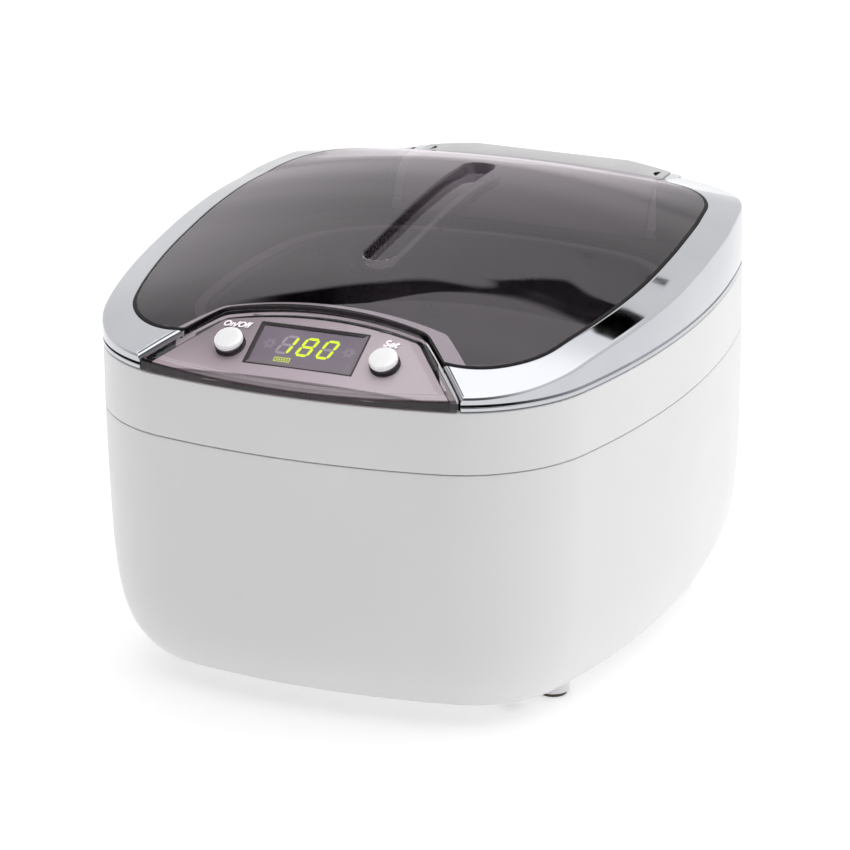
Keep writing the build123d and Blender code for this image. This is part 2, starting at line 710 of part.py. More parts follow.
# ================================================================ control panel
cover_outer = prism(panel_outline, Z_BAND + 0.25, 150, 0.0) - above_panel(0.0)
cover_inner = prism(panel_outline, 90, 150, -COVER_T) - above_panel(COVER_T)
rear_trim = block(-80, 80, -93.0, -40, 90, 160) - above_panel(4.0)
with BuildPart() as panel_cover:
    add(cover_outer)
    top_edges = [e for e in panel_cover.edges()
                 if abs(e.center().Z - pan_z(e.center().X, e.center().Y)) < 0.6 and e.center().Z > 110.4]
    fillet(top_edges, radius=0.7)
    add(cover_inner, mode=Mode.SUBTRACT)
    add(rear_trim, mode=Mode.SUBTRACT)
    with BuildSketch(PAN.offset(-6)):
        with Locations(*BTNS):
            Circle(BTN_D / 2 + 0.35)
    extrude(amount=10, mode=Mode.SUBTRACT)
save(panel_cover, "panel_cover")

plate_solid = (prism(panel_outline, 90, 150, -1.7) & block(-80, 80, -99.35, -40, 90, 150)
               & above_panel(COVER_T + PLATE_T, PLATE_T))
with BuildPart() as panel_plate:
    add(plate_solid)
    with BuildSketch(PAN.offset(-4)):
        with Locations((DISP_X, DISP_LY)):
            Rectangle(DISP_W, DISP_H)
        with Locations(*BTNS):
            Circle(BTN_D / 2 + 0.35)
    extrude(amount=6, mode=Mode.SUBTRACT)
save(panel_plate, "panel_plate")

with BuildPart() as display_window:
    with BuildSketch(PAN.offset(-COVER_T - 0.4 - DISP_T)):
        with Locations((DISP_X, DISP_LY)):
            Rectangle(DISP_W - 0.3, DISP_H - 0.3)
    extrude(amount=DISP_T)
save(display_window, "display_window")
with BuildPart() as display_module:
    with BuildSketch(PAN.offset(-11.0)):
        with Locations((DISP_X, MOD_LY)):
            Rectangle(MOD_W, MOD_H)
    extrude(amount=11.0 - COVER_T - 0.4 - DISP_T)
save(display_module, "display_module")
with BuildPart() as display_board:
    with BuildSketch(PAN.offset(-12.6)):
        with BuildLine():
            Polyline((-37.5, -9), (37.5, -9), (37.5, -6), (33.0, 0.0), (33.0, 5.5), (25.0, 9.9),
                     (-25.0, 9.9), (-33.0, 5.5), (-33.0, 0.0), (-37.5, -6), (-37.5, -9))
        make_face()
        with Locations((-33.6, -6.0), (33.6, -6.0)):
            Circle(1.1, mode=Mode.SUBTRACT)
    extrude(amount=1.6)
save(display_board, "display_board")
with BuildPart() as tact_switches:
    with BuildSketch(PAN.offset(-11.0)):
        with Locations(*BTNS):
            Rectangle(6, 6)
    extrude(amount=3.4)
    with BuildSketch(PAN.offset(-7.6)):
        with Locations(*BTNS):
            Circle(1.7)
    extrude(amount=0.8)
save(tact_switches, "tact_switches")
with BuildPart() as panel_screws:
    with BuildSketch(PAN.offset(-14.2)):
        with Locations((-33.6, -6.0), (33.6, -6.0)):
            Circle(2.2)
    extrude(amount=1.6)
    with BuildSketch(PAN.offset(-12.6)):
        with Locations((-33.6, -6.0), (33.6, -6.0)):
            Circle(1.1)
    extrude(amount=6.0)
save(panel_screws, "panel_screws")


def button(place, label):
    """cap with a retaining flange and a stem that presses the switch"""
    with BuildPart() as b:
        with BuildSketch(PAN.offset(-COVER_T - PLATE_T)):
            with Locations(place):
                Circle(BTN_D / 2)
        extrude(amount=COVER_T + PLATE_T + BTN_H)
        top = b.faces().sort_by(Axis.Z)[-1]
        fillet(top.edges(), radius=0.7)
        with BuildSketch(PAN.offset(-6.0)):
            with Locations(place):
                Circle(BTN_D / 2 - 0.6)
        extrude(amount=6.0 - COVER_T - PLATE_T)
        with BuildSketch(PAN.offset(-6.0)):
            with Locations(place):
                Circle(BTN_D / 2 + 1.0)
        extrude(amount=1.0)
    save(b, label)


button(BTNS[0], "power_button")
button(BTNS[1], "set_button")

# ================================================================ lid
zone_cut = prism(panel_outline, 90, 170, 1.2) + block(-55.4, 55.4, -130, -98.0, 90, 170)
zone_rim = prism(panel_outline, 90, 170, 3.2) + block(-57.4, 57.4, -130, -98.0, 90, 170)
zone_frame = prism(panel_outline, 90, 170, 10.0) + block(-66, 66, -130, -90.0, 90, 170)
LID_SCREWS = [(sx * x, y) for sx in (-1, 1) for x, y in ((82.6, -28.0), (82.0, 34.0), (78.0, -64.0))]
rear_cut = block(-48.6, 48.6, 70, 130, 90, 170)
rear_rim = block(-50.6, 50.6, 70, 130, 90, 170)
win_prism = prism(lambda: window_outline(0.0), 90, 170)
relief = block(-75, 75, HINGE_Y, 120, 100, HINGE_Z) - barrel(3.4, 80)

rim_outer = prism(lambda: body_outline(-0.15), Z_RIM, 160) - above(0.0) - win_prism - zone_cut - rear_cut - relief
rim_inner = (prism(lambda: body_outline(RIM_T), 100, 160) - above(RIM_T)
             - prism(lambda: window_outline(1.8), 90, 170) - zone_rim - rear_rim)
rim_seat = (prism(lambda: window_outline(2.0), 100, 111.85) & prism(lambda: body_outline(RIM_T), 99, 120)) - zone_rim
groove_ring = (prism(lambda: body_outline(-2.0), Z_RIM + 1.25, Z_RIM + 2.05)
               - prism(lambda: body_outline(0.45), 90, 160))
with BuildPart() as posts:
    # screw posts inside the rims
    for px, py in LID_SCREWS:
        with BuildSketch(Plane.XY.offset(111.9)):
            with Locations((px, py)):
                Circle(2.3)
        extrude(amount=roof_z(px, py) - RIM_T + 1.6 - 111.9)
rim_posts = posts.part - above(RIM_T - 0.6) - win_prism
with BuildPart() as pilots:
    with BuildSketch(Plane.XY.offset(105.0)):
        with Locations(*LID_SCREWS):
            Circle(1.05)
    extrude(amount=11.2)
rim_solid = (rim_outer - rim_inner - rim_seat - groove_ring + rim_posts) - pilots.part
for name, side in (("rim_left", -1), ("rim_right", 1)):
    x0, x1 = (-130, 0) if side < 0 else (0, 130)
    with BuildPart() as rim_half:
        add(rim_solid & block(x0, x1, -130, 130, 90, 170))
    save(rim_half, name)

# window with its front to rear channel
SLOT_W, SLOT_F, SLOT_R, SLOT_D = 11.4, -41.0, 47.0, 3.6


def slot_prism(grow):
    with BuildPart() as p:
        with BuildSketch(Plane.XY.offset(90)):
            with Locations((0, (SLOT_F + SLOT_R) / 2)):
                SlotOverall(SLOT_R - SLOT_F + 2 * grow, SLOT_W + 2 * grow, rotation=90)
        extrude(amount=80)
    return p.part


lid_plan = ((prism(lambda: window_outline(-0.45), 90, 170)
             + block(-47.8, 47.8, 70, 88.5, 90, 170)) - zone_cut - barrel(HINGE_R + 0.6, 60))
slab = lid_plan - above(0.0) - below(WIN_T)
pan_slab = slot_prism(2.2) - above(WIN_T - 0.2) - below(SLOT_D + 2.2)
cut_slab = slot_prism(0.0) - above(-6.0) - below(SLOT_D)
with BuildPart() as lid_window:
    add(slab)
    add(pan_slab)
    add(cut_slab, mode=Mode.SUBTRACT)
save(lid_window, "lid_window")

# inner frame: flat ring under the rims with an upright lip under the window edge
flat = (prism(lambda: body_outline(RIM_T + 0.3), 109.6, 111.8)
        - prism(lambda: outline(WIN_A - 4.0, WIN_BF - 4.0, 269, 566, 27, br=73.0, rr=556), 90, 170)
        - zone_frame) - block(-50.8, 50.8, 77.2, 130, 90, 170)
inner_loop = ((prism(panel_outline, 109.6, 111.8, 13.6) - zone_frame)
              & prism(lambda: window_outline(-2.5), 100, 130))
lip = (prism(lambda: window_outline(-0.6), 109.6, 160) - prism(lambda: window_outline(-2.4), 90, 170)
       - above(WIN_T + 0.05) - zone_frame - block(-48.8, 48.8, 70, 130, 90, 170))
with BuildPart() as lid_frame:
    add(flat)
    add(inner_loop)
    add(lip)
    add(relief, mode=Mode.SUBTRACT)
    with BuildSketch(Plane.XY.offset(100)):
        with Locations(*LID_SCREWS):
            Circle(1.35)
    extrude(amount=20, mode=Mode.SUBTRACT)
save(lid_frame, "lid_frame")

with BuildPart() as lid_screws:
    # round heads under the frame, shanks up into the rim posts
    with BuildSketch(Plane.XY.offset(108.1)):
        with Locations(*LID_SCREWS):
            Circle(2.1)
    extrude(amount=1.5)
    with BuildSketch(Plane.XY.offset(108.1)):
        with Locations(*LID_SCREWS):
            Rectangle(2.6, 0.6)
            Rectangle(0.6, 2.6)
    extrude(amount=0.8, mode=Mode.SUBTRACT)
    with BuildSketch(Plane.XY.offset(109.6)):
        with Locations(*LID_SCREWS):
            Circle(1.05)
    extrude(amount=6.0)
save(lid_screws, "lid_screws")

with BuildPart() as lid_seal:
    with BuildSketch(Plane.XY.offset(108.6)):
        with BuildLine():
            outline(TANK_A + 5.6, TANK_B + 5.6, 205.6, 185.6, 41.6, cy=TANK_Y - 1.6, br=TANK_B + 1.4)
        make_face()
        with BuildLine():
            outline(TANK_A + 2.2, TANK_B + 2.2, 202.2, 182.2, 38.2, cy=TANK_Y - 1.6, br=TANK_B - 2.0)
        make_face(mode=Mode.SUBTRACT)
    extrude(amount=1.0)
save(lid_seal, "lid_seal")

# side arms that turn on the pins
with BuildPart() as hinge_arms:
    for x0 in (-48.1, 44.7):
        with BuildSketch(Plane.YZ.offset(x0)):
            with BuildLine():
                r = HINGE_R - 0.6
                a0, a1 = radians(76), radians(172)
                p0 = (HINGE_Y + r * cos(a0), HINGE_Z + r * sin(a0))
                p1 = (HINGE_Y + r * cos(a1), HINGE_Z + r * sin(a1))
                pm = (HINGE_Y + r * cos((a0 + a1) / 2), HINGE_Z + r * sin((a0 + a1) / 2))
                ThreePointArc(p0, pm, p1)
                Polyline(p1, (77.3, p1[1]), (77.3, 109.65), (HINGE_Y, 109.65), (HINGE_Y + 2.0, 110.3), (HINGE_Y + 3.0, 112.5), p0)
            make_face()
            with Locations((HINGE_Y, HINGE_Z)):
                Circle(3.8)
                Circle(PIN_D / 2 + 0.05, mode=Mode.SUBTRACT)
        extrude(amount=3.4)
    # tops level with the hinge block between them
    with BuildSketch(Plane.XZ.offset(-130)):
        with BuildLine():
            ThreePointArc((-60, 125.6), (0, 130.6), (60, 125.6))
            Polyline((60, 125.6), (60, 150), (-60, 150), (-60, 125.6))
        make_face()
    extrude(amount=60, mode=Mode.SUBTRACT)
save(hinge_arms, "hinge_arms")
with BuildPart() as hinge_pins:
    for x0 in (-48.1, 38.0):
        with BuildSketch(Plane.YZ.offset(x0)):
            with Locations((HINGE_Y, HINGE_Z)):
                Circle(PIN_D / 2)
        extrude(amount=10.1)
save(hinge_pins, "hinge_pins")
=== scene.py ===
import json
import math

import bmesh
import bpy
from mathutils import Matrix, Vector

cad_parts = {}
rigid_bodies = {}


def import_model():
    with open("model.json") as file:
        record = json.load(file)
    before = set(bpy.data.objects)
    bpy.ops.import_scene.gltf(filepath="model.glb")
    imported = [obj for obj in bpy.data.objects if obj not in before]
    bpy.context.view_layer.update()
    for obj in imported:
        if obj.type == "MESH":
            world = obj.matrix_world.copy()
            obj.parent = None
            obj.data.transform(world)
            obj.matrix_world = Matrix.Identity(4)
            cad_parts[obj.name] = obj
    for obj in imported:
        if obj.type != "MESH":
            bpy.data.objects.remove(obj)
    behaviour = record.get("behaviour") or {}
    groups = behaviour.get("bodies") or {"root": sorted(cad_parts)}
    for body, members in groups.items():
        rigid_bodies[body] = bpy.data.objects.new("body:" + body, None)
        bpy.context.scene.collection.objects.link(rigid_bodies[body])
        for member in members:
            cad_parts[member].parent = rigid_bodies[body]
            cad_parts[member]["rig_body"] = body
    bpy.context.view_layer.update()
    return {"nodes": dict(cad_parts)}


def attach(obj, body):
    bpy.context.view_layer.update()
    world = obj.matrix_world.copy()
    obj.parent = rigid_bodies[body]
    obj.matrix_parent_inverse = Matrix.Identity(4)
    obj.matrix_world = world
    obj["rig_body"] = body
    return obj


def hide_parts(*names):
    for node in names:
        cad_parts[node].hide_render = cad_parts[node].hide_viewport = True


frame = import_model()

MM = 0.001
NODES = frame["nodes"]
scene = bpy.context.scene

# ------------------------------------------------------------------ sizes (mm)
HALF_W, HALF_D = 91.0, 104.9
R_SIDE, R_FRONT, R_CORNER = 280.0, 249.5, 45.5
WALL = 2.6
Z_SEAM, Z_BAND, Z_RIM = 88.5, 108.8, 109.15
WIN_A, WIN_BF, WIN_BR = 81.0, 89.7, 81.0
WIN_RS, WIN_RF, WIN_RR, WIN_RC = 273.0, 570.0, 560.0, 30.8
WIN_T, RIM_T = 2.4, 2.2
PAN_SLOPE, PAN_Y, PAN_Z, PAN_CROWN = 0.57, -91.8, 118.72, 970.0
PAN_ANG = math.atan(PAN_SLOPE)
PAN_W, PAN_TOP_X, PAN_TOP_Y, PAN_TOP_MID = 54.4, 36.0, -80.75, -75.5
PAN_RT, PAN_RF, PAN_GAP = 172.0, 7.0, 1.2
COVER_T, PLATE_T = 1.4, 0.5
DISP_W, DISP_H, DISP_X, DISP_LY = 37.8, 17.8, -1.95, 3.95
BTNS, BTN_D = [(-27.3, 1.5), (26.0, 1.5)], 9.2
HINGE_Y, HINGE_Z, HINGE_R = 96.5, 112.5, 18.5
INLET_X, INLET_Z = 34.0, 32.0
SLOT_W, SLOT_F, SLOT_R = 11.4, -41.0, 47.0
FEET = [(sx * 65.0, sy * 50.5) for sx in (-1, 1) for sy in (-1, 1)]
CORNERS = [(sx * 57.0, sy * 66.0) for sx in (-1, 1) for sy in (-1, 1)]
ROOF_MID = [(-118, 110.5), (-108, 115.2), (-98, 119.6), (-88, 124.0), (-77, 128.0), (-60, 131.8),
            (-39, 135.0), (-15, 138.2), (11, 141.2), (30, 142.2), (45, 141.8), (60, 139.4),
            (72, 136.4), (81, 133.4), (90, 130.9), (100, 128.6), (110, 126.4), (118, 124.6)]
ROOF_DROP = [(-118, 12.6), (-88, 12.3), (-60, 11.4), (-40, 11.5), (0, 12.0), (40, 11.6), (60, 9.0),
             (72, 6.6), (81, 5.2), (100, 4.5), (118, 4.5)]
TUB = [(3.2, 20.6, 23.4, 29.0), (4.2, 16.6, 19.2, 30.0), (6.4, 13.2, 15.4, 31.0), (10.5, 9.6, 11.2, 33.0),
       (17.5, 5.9, 6.9, 36.0), (28.0, 3.0, 3.7, 40.0), (43.0, 1.4, 1.7, 43.0),
       (64.0, 0.5, 0.6, 45.0), (90.0, 0.0, 0.0, R_CORNER)]


# ------------------------------------------------------------------ shape maths
def slopes(t):
    n = len(t)
    h = [t[i + 1][0] - t[i][0] for i in range(n - 1)]
    s = [(t[i + 1][1] - t[i][1]) / h[i] for i in range(n - 1)]
    m = [s[0]]
    for i in range(1, n - 1):
        if s[i - 1] * s[i] <= 0:
            m.append(0.0)
        else:
            w1, w2 = 2 * h[i] + h[i - 1], h[i] + 2 * h[i - 1]
            m.append((w1 + w2) / (w1 / s[i - 1] + w2 / s[i]))
    m.append(s[-1])
    return h, m


class Table:
    """monotone cubic through a list of points"""

    def __init__(self, t):
        self.t = t
        self.h, self.m = slopes(t)

    def __call__(self, y):
        t, h, m = self.t, self.h, self.m
        y = min(max(y, t[0][0]), t[-1][0])
        i = 0
        while i < len(t) - 2 and y > t[i + 1][0]:
            i += 1
        u = (y - t[i][0]) / h[i]
        return ((2 * u**3 - 3 * u**2 + 1) * t[i][1] + (u**3 - 2 * u**2 + u) * h[i] * m[i]
                + (-2 * u**3 + 3 * u**2) * t[i + 1][1] + (u**3 - u**2) * h[i] * m[i + 1])


ROOF_MID_F, ROOF_DROP_F = Table(ROOF_MID), Table(ROOF_DROP)
TUB_F = [Table([(t[0], t[k]) for t in TUB]) for k in (1, 2, 3)]


def roof_z(x, y):
    return ROOF_MID_F(y) - ROOF_DROP_F(y) * (x / 81.0) ** 2


def smoothstep(a, b, v):
    t = min(max((v - a) / (b - a), 0.0), 1.0)
    return t * t * (3 - 2 * t)


def slot_sdf(x, y):
    """distance to the finger channel's outline, negative inside"""
    r = SLOT_W / 2
    yy = min(max(y, SLOT_F + r), SLOT_R - r)
    return math.hypot(x, y - yy) - r


def lid_top(x, y):
    return roof_z(x, y) - 3.6 * (1.0 - smoothstep(-1.05, 0.30, slot_sdf(x, y)))


def lid_bottom(x, y):
    return roof_z(x, y) - WIN_T - 3.4 * (1.0 - smoothstep(0.9, 2.2, slot_sdf(x, y)))


def outline(a, b, rs, rf, rc, cy=0.0, br=None, rr=None, n=(46, 26, 40)):
    """closed plan curve of eight tangent arcs: [(x, y, nx, ny)] from the front left, counter-clockwise"""
    br = b if br is None else br
    rr = rf if rr is None else rr
    cs, cf, cr = (a - rs, 0.0), (0.0, -b + rf), (0.0, br - rr)

    def corner(c1, r1, c2, r2, up):
        d1, d2 = r1 - rc, r2 - rc
        vx, vy = c2[0] - c1[0], c2[1] - c1[1]
        ln = math.hypot(vx, vy)
        ex, ey = vx / ln, vy / ln
        x = (d1 * d1 - d2 * d2 + ln * ln) / (2 * ln)
        h = math.sqrt(max(d1 * d1 - x * x, 0.0))
        k = [(c1[0] + ex * x - ey * s * h, c1[1] + ey * x + ex * s * h) for s in (1, -1)]
        return max(k, key=lambda q: q[0] + up * q[1])

    kf, kr = corner(cs, rs, cf, rf, -1), corner(cs, rs, cr, rr, 1)

    def ang(p, c):
        return math.atan2(p[1] - c[1], p[0] - c[0])

    t_f, t_s0, t_s1, t_r = ang(kf, cf), ang(kf, cs), ang(kr, cs), ang(kr, cr)
    pi = math.pi

    def flip(p):
        return (-p[0], p[1])

    arcs = [(cf, rf, -pi - t_f, t_f, n[0]), (kf, rc, t_f, t_s0, n[1]), (cs, rs, t_s0, t_s1, n[2]),
            (kr, rc, t_s1, t_r, n[1]), (cr, rr, t_r, pi - t_r, n[0]), (flip(kr), rc, pi - t_r, pi - t_s1, n[1]),
            (flip(cs), rs, pi - t_s1, pi - t_s0, n[2]), (flip(kf), rc, pi - t_s0, pi - t_f, n[1])]
    out = []
    for c, r, t0, t1, k in arcs:
        for i in range(k):
            t = t0 + (t1 - t0) * i / k
            out.append((c[0] + r * math.cos(t), c[1] + r * math.sin(t) + cy, math.cos(t), math.sin(t)))
    return out


def body_pts(d, **kw):
    return outline(HALF_W - d, HALF_D - d, R_SIDE - d, R_FRONT - d, max(R_CORNER - d, 12.0), **kw)


def window_pts(d, **kw):
    return outline(WIN_A + d, WIN_BF + d, WIN_RS + d, WIN_RF + d, WIN_RC + d, br=WIN_BR + d, rr=WIN_RR + d, **kw)


def panel_pts(g=0.0, n_front=60, n_side=14, n_corner=12, n_rear=40):
    """plan of the control panel grown by g, from the front left, counter-clockwise"""
    cf, rf = -HALF_D + R_FRONT, R_FRONT + g
    ct, rt = PAN_TOP_MID - PAN_RT, PAN_RT + g
    x0 = PAN_W
    y0 = -HALF_D + R_FRONT - math.sqrt(R_FRONT**2 - x0**2)
    dx, dy = PAN_TOP_X - x0, PAN_TOP_Y - y0
    ln = math.hypot(dx, dy)
    ux, uy = dx / ln, dy / ln
    nx, ny = uy, -ux
    qx, qy = x0 - nx * PAN_RF, y0 - ny * PAN_RF
    bq = ux * qx + uy * (qy - ct)
    cq = qx * qx + (qy - ct) ** 2 - (PAN_RT - PAN_RF) ** 2
    t = -bq + math.sqrt(bq * bq - cq)
    kx, ky = qx + ux * t, qy + uy * t
    rk = PAN_RF + g
    s1 = (kx + nx * rk, ky + ny * rk)
    kl = math.hypot(kx, ky - ct)
    mx, my = kx / kl, (ky - ct) / kl
    s2 = (kx + mx * rk, ky + my * rk)
    px, py = x0 + nx * g, y0 + ny * g
    bq = ux * px + uy * (py - cf)
    cq = px * px + (py - cf) ** 2 - rf * rf
    r = math.sqrt(bq * bq - cq)
    t = min((-bq + r, -bq - r), key=abs)
    f0 = (px + ux * t, py + uy * t)
    out = []
    a1 = math.atan2(f0[1] - cf, f0[0])
    a0 = -math.pi - a1
    for i in range(n_front):
        a = a0 + (a1 - a0) * i / n_front
        out.append((rf * math.cos(a), cf + rf * math.sin(a)))
    for i in range(n_side):
        k = i / n_side
        out.append((f0[0] + (s1[0] - f0[0]) * k, f0[1] + (s1[1] - f0[1]) * k))
    b0, b1 = math.atan2(ny, nx), math.atan2(my, mx)
    for i in range(n_corner):
        a = b0 + (b1 - b0) * i / n_corner
        out.append((kx + rk * math.cos(a), ky + rk * math.sin(a)))
    c0 = math.atan2(s2[1] - ct, s2[0])
    for i in range(n_rear):
        a = c0 + (math.pi - 2 * c0) * i / n_rear
        out.append((rt * math.cos(a), ct + rt * math.sin(a)))
    for i in range(n_corner):
        a = b1 + (b0 - b1) * i / n_corner
        out.append((-(kx + rk * math.cos(a)), ky + rk * math.sin(a)))
    for i in range(n_side):
        k = i / n_side
        out.append((-(s1[0] + (f0[0] - s1[0]) * k), s1[1] + (f0[1] - s1[1]) * k))
    return out


PX = Vector((1, 0, 0))
PY = Vector((0, math.cos(PAN_ANG), math.sin(PAN_ANG)))
PN = Vector((0, -math.sin(PAN_ANG), math.cos(PAN_ANG)))
PO = Vector((0, PAN_Y, PAN_Z))


def on_panel(x, y, h):
    """a point of the panel: x across, y up the slope, h above its plane (mm)"""
    return PO + PX * x + PY * y + PN * h


def on_skin(x, y, h):
    """like on_panel, with the crown of the panel from side to side"""
    return on_panel(x, y, h - x * x / (2 * PAN_CROWN))


def pan_z(x, y, h=0.0):
    return PAN_Z + PAN_SLOPE * (y - PAN_Y) + (h - x * x / (2 * PAN_CROWN)) / math.cos(PAN_ANG)


def inside(poly, q):
    """whether the plan point lies inside the closed polygon"""
    c = False
    for i in range(len(poly)):
        (x1, y1), (x2, y2) = poly[i], poly[i - 1]
        if (y1 > q[1]) != (y2 > q[1]) and q[0] < (x2 - x1) * (q[1] - y1) / (y2 - y1) + x1:
            c = not c
    return c


# ------------------------------------------------------------------ mesh helpers
def add_mesh(name, verts, faces, mats, body, smooth=35.0):
    """new piece from points in mm"""
    me = bpy.data.meshes.new(name)
    me.from_pydata([(v[0] * MM, v[1] * MM, v[2] * MM) for v in verts], [], faces)
    me.validate()
    ob = bpy.data.objects.new(name, me)
    scene.collection.objects.link(ob)
    for m in mats if isinstance(mats, (list, tuple)) else [mats]:
        me.materials.append(m)
    recalc(me)
    shade(me, smooth)
    if body:
        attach(ob, body)
    return ob


def recalc(me):
    bm = bmesh.new()
    bm.from_mesh(me)
    bmesh.ops.recalc_face_normals(bm, faces=bm.faces)
    bm.to_mesh(me)
    bm.free()


def shade(me, deg):
    me.shade_smooth()
    me.set_sharp_from_angle(angle=math.radians(deg))


def rings(name, loops, mats, body, caps=True, closed=True, smooth=35.0):
    """skin of rings with equal point counts; closed joins each ring end to end"""
    n = len(loops[0])
    verts = [p for lp in loops for p in lp]
    faces = []
    for k in range(len(loops) - 1):
        for i in range(n if closed else n - 1):
            j = (i + 1) % n
            faces.append((k * n + i, k * n + j, (k + 1) * n + j, (k + 1) * n + i))
    if caps:
        faces.append(tuple(range(n - 1, -1, -1)))
        faces.append(tuple((len(loops) - 1) * n + i for i in range(n)))
    return add_mesh(name, verts, faces, mats, body, smooth)


def prism(name, pts, z0, z1):
    lo = [(p[0], p[1], z0) for p in pts]
    hi = [(p[0], p[1], z1) for p in pts]
    return rings(name, [lo, hi], [], None)


def cyl(name, c, axis, r, length, n=48, x_dir=None):
    """closed cylinder from c along axis"""
    a = Vector(axis).normalized()
    u = Vector(x_dir) if x_dir else a.orthogonal().normalized()
    v = a.cross(u)
    c = Vector(c)
    lp = []
    for d in (0.0, length):
        lp.append([c + a * d + (u * math.cos(2 * math.pi * i / n) + v * math.sin(2 * math.pi * i / n)) * r
                   for i in range(n)])
    return rings(name, lp, [], None)


def lathe(name, c, axis, prof, mats, body, n=64, smooth=35.0, slot=None, rep=None):
    """turned piece: prof is [(radius, distance along axis)] from one end to the other"""
    a = Vector(axis).normalized()
    u = a.orthogonal().normalized()
    v = a.cross(u)
    c = Vector(c)
    lp = [[c + a * d + (u * math.cos(2 * math.pi * i / n) + v * math.sin(2 * math.pi * i / n)) * r
           for i in range(n)] for r, d in prof]
    return rings(name, lp, mats, body, smooth=smooth)


def boolean(ob, other, op, keep=False, solver="EXACT"):
    """applies a boolean to ob's mesh"""
    m = ob.modifiers.new("b", "BOOLEAN")
    m.operation = op
    m.solver = solver
    m.object = other
    bpy.context.view_layer.update()
    dg = bpy.context.evaluated_depsgraph_get()
    me = bpy.data.meshes.new_from_object(ob.evaluated_get(dg))
    ob.modifiers.clear()
    old = ob.data
    ob.data = me
    bpy.data.meshes.remove(old)
    if not keep:
        drop(other)
    return ob


def drop(ob):
    me = ob.data
    bpy.data.objects.remove(ob)
    bpy.data.meshes.remove(me)


def join(name, obs):
    """one mesh of several scratch meshes"""
    bm = bmesh.new()
    for o in obs:
        bm.from_mesh(o.data)
    me = bpy.data.meshes.new(name)
    bm.to_mesh(me)
    bm.free()
    for o in obs:
        drop(o)
    ob = bpy.data.objects.new(name, me)
    scene.collection.objects.link(ob)
    return ob


def finish_piece(ob, mats, body, replaces=(), smooth=35.0, weld=0.002):
    me = ob.data
    bm = bmesh.new()
    bm.from_mesh(me)
    if weld:
        bmesh.ops.remove_doubles(bm, verts=bm.verts, dist=weld * MM)
    bmesh.ops.dissolve_degenerate(bm, edges=bm.edges, dist=1e-7)
    bmesh.ops.recalc_face_normals(bm, faces=bm.faces)
    bm.to_mesh(me)
    bm.free()
    shade(me, smooth)
    me.materials.clear()
    for m in mats if isinstance(mats, (list, tuple)) else [mats]:
        me.materials.append(m)
    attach(ob, body)
    if replaces:
        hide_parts(*([replaces] if isinstance(replaces, str) else replaces))
    return ob


def refined(node, mat, name=None, smooth=32.0, bevel=0.0):
    """welded, smooth shaded twin of a CAD node"""
    src = NODES[node]
    me = src.data.copy()
    me.name = name or node + "_s"
    ob = bpy.data.objects.new(name or node + "_s", me)
    scene.collection.objects.link(ob)
    bm = bmesh.new()
    bm.from_mesh(me)
    bmesh.ops.remove_doubles(bm, verts=bm.verts, dist=1e-6)
    bm.to_mesh(me)
    bm.free()
    if me.has_custom_normals:
        with bpy.context.temp_override(object=ob, active_object=ob):
            bpy.ops.mesh.customdata_custom_splitnormals_clear()
    for p in me.polygons:
        p.material_index = 0
    shade(me, smooth)
    me.materials.clear()
    me.materials.append(mat)
    if bevel:
        b = ob.modifiers.new("bevel", "BEVEL")
        b.width = bevel * MM
        b.segments = 2
        b.limit_method = "ANGLE"
        b.angle_limit = math.radians(50)
        b.harden_normals = False
    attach(ob, src["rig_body"])
    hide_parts(node)
    return ob


def bevel_mod(ob, width, segments=2, angle=40):
    b = ob.modifiers.new("bevel", "BEVEL")
    b.width = width * MM
    b.segments = segments
    b.limit_method = "ANGLE"
    b.angle_limit = math.radians(angle)
    b.use_clamp_overlap = True
    return b


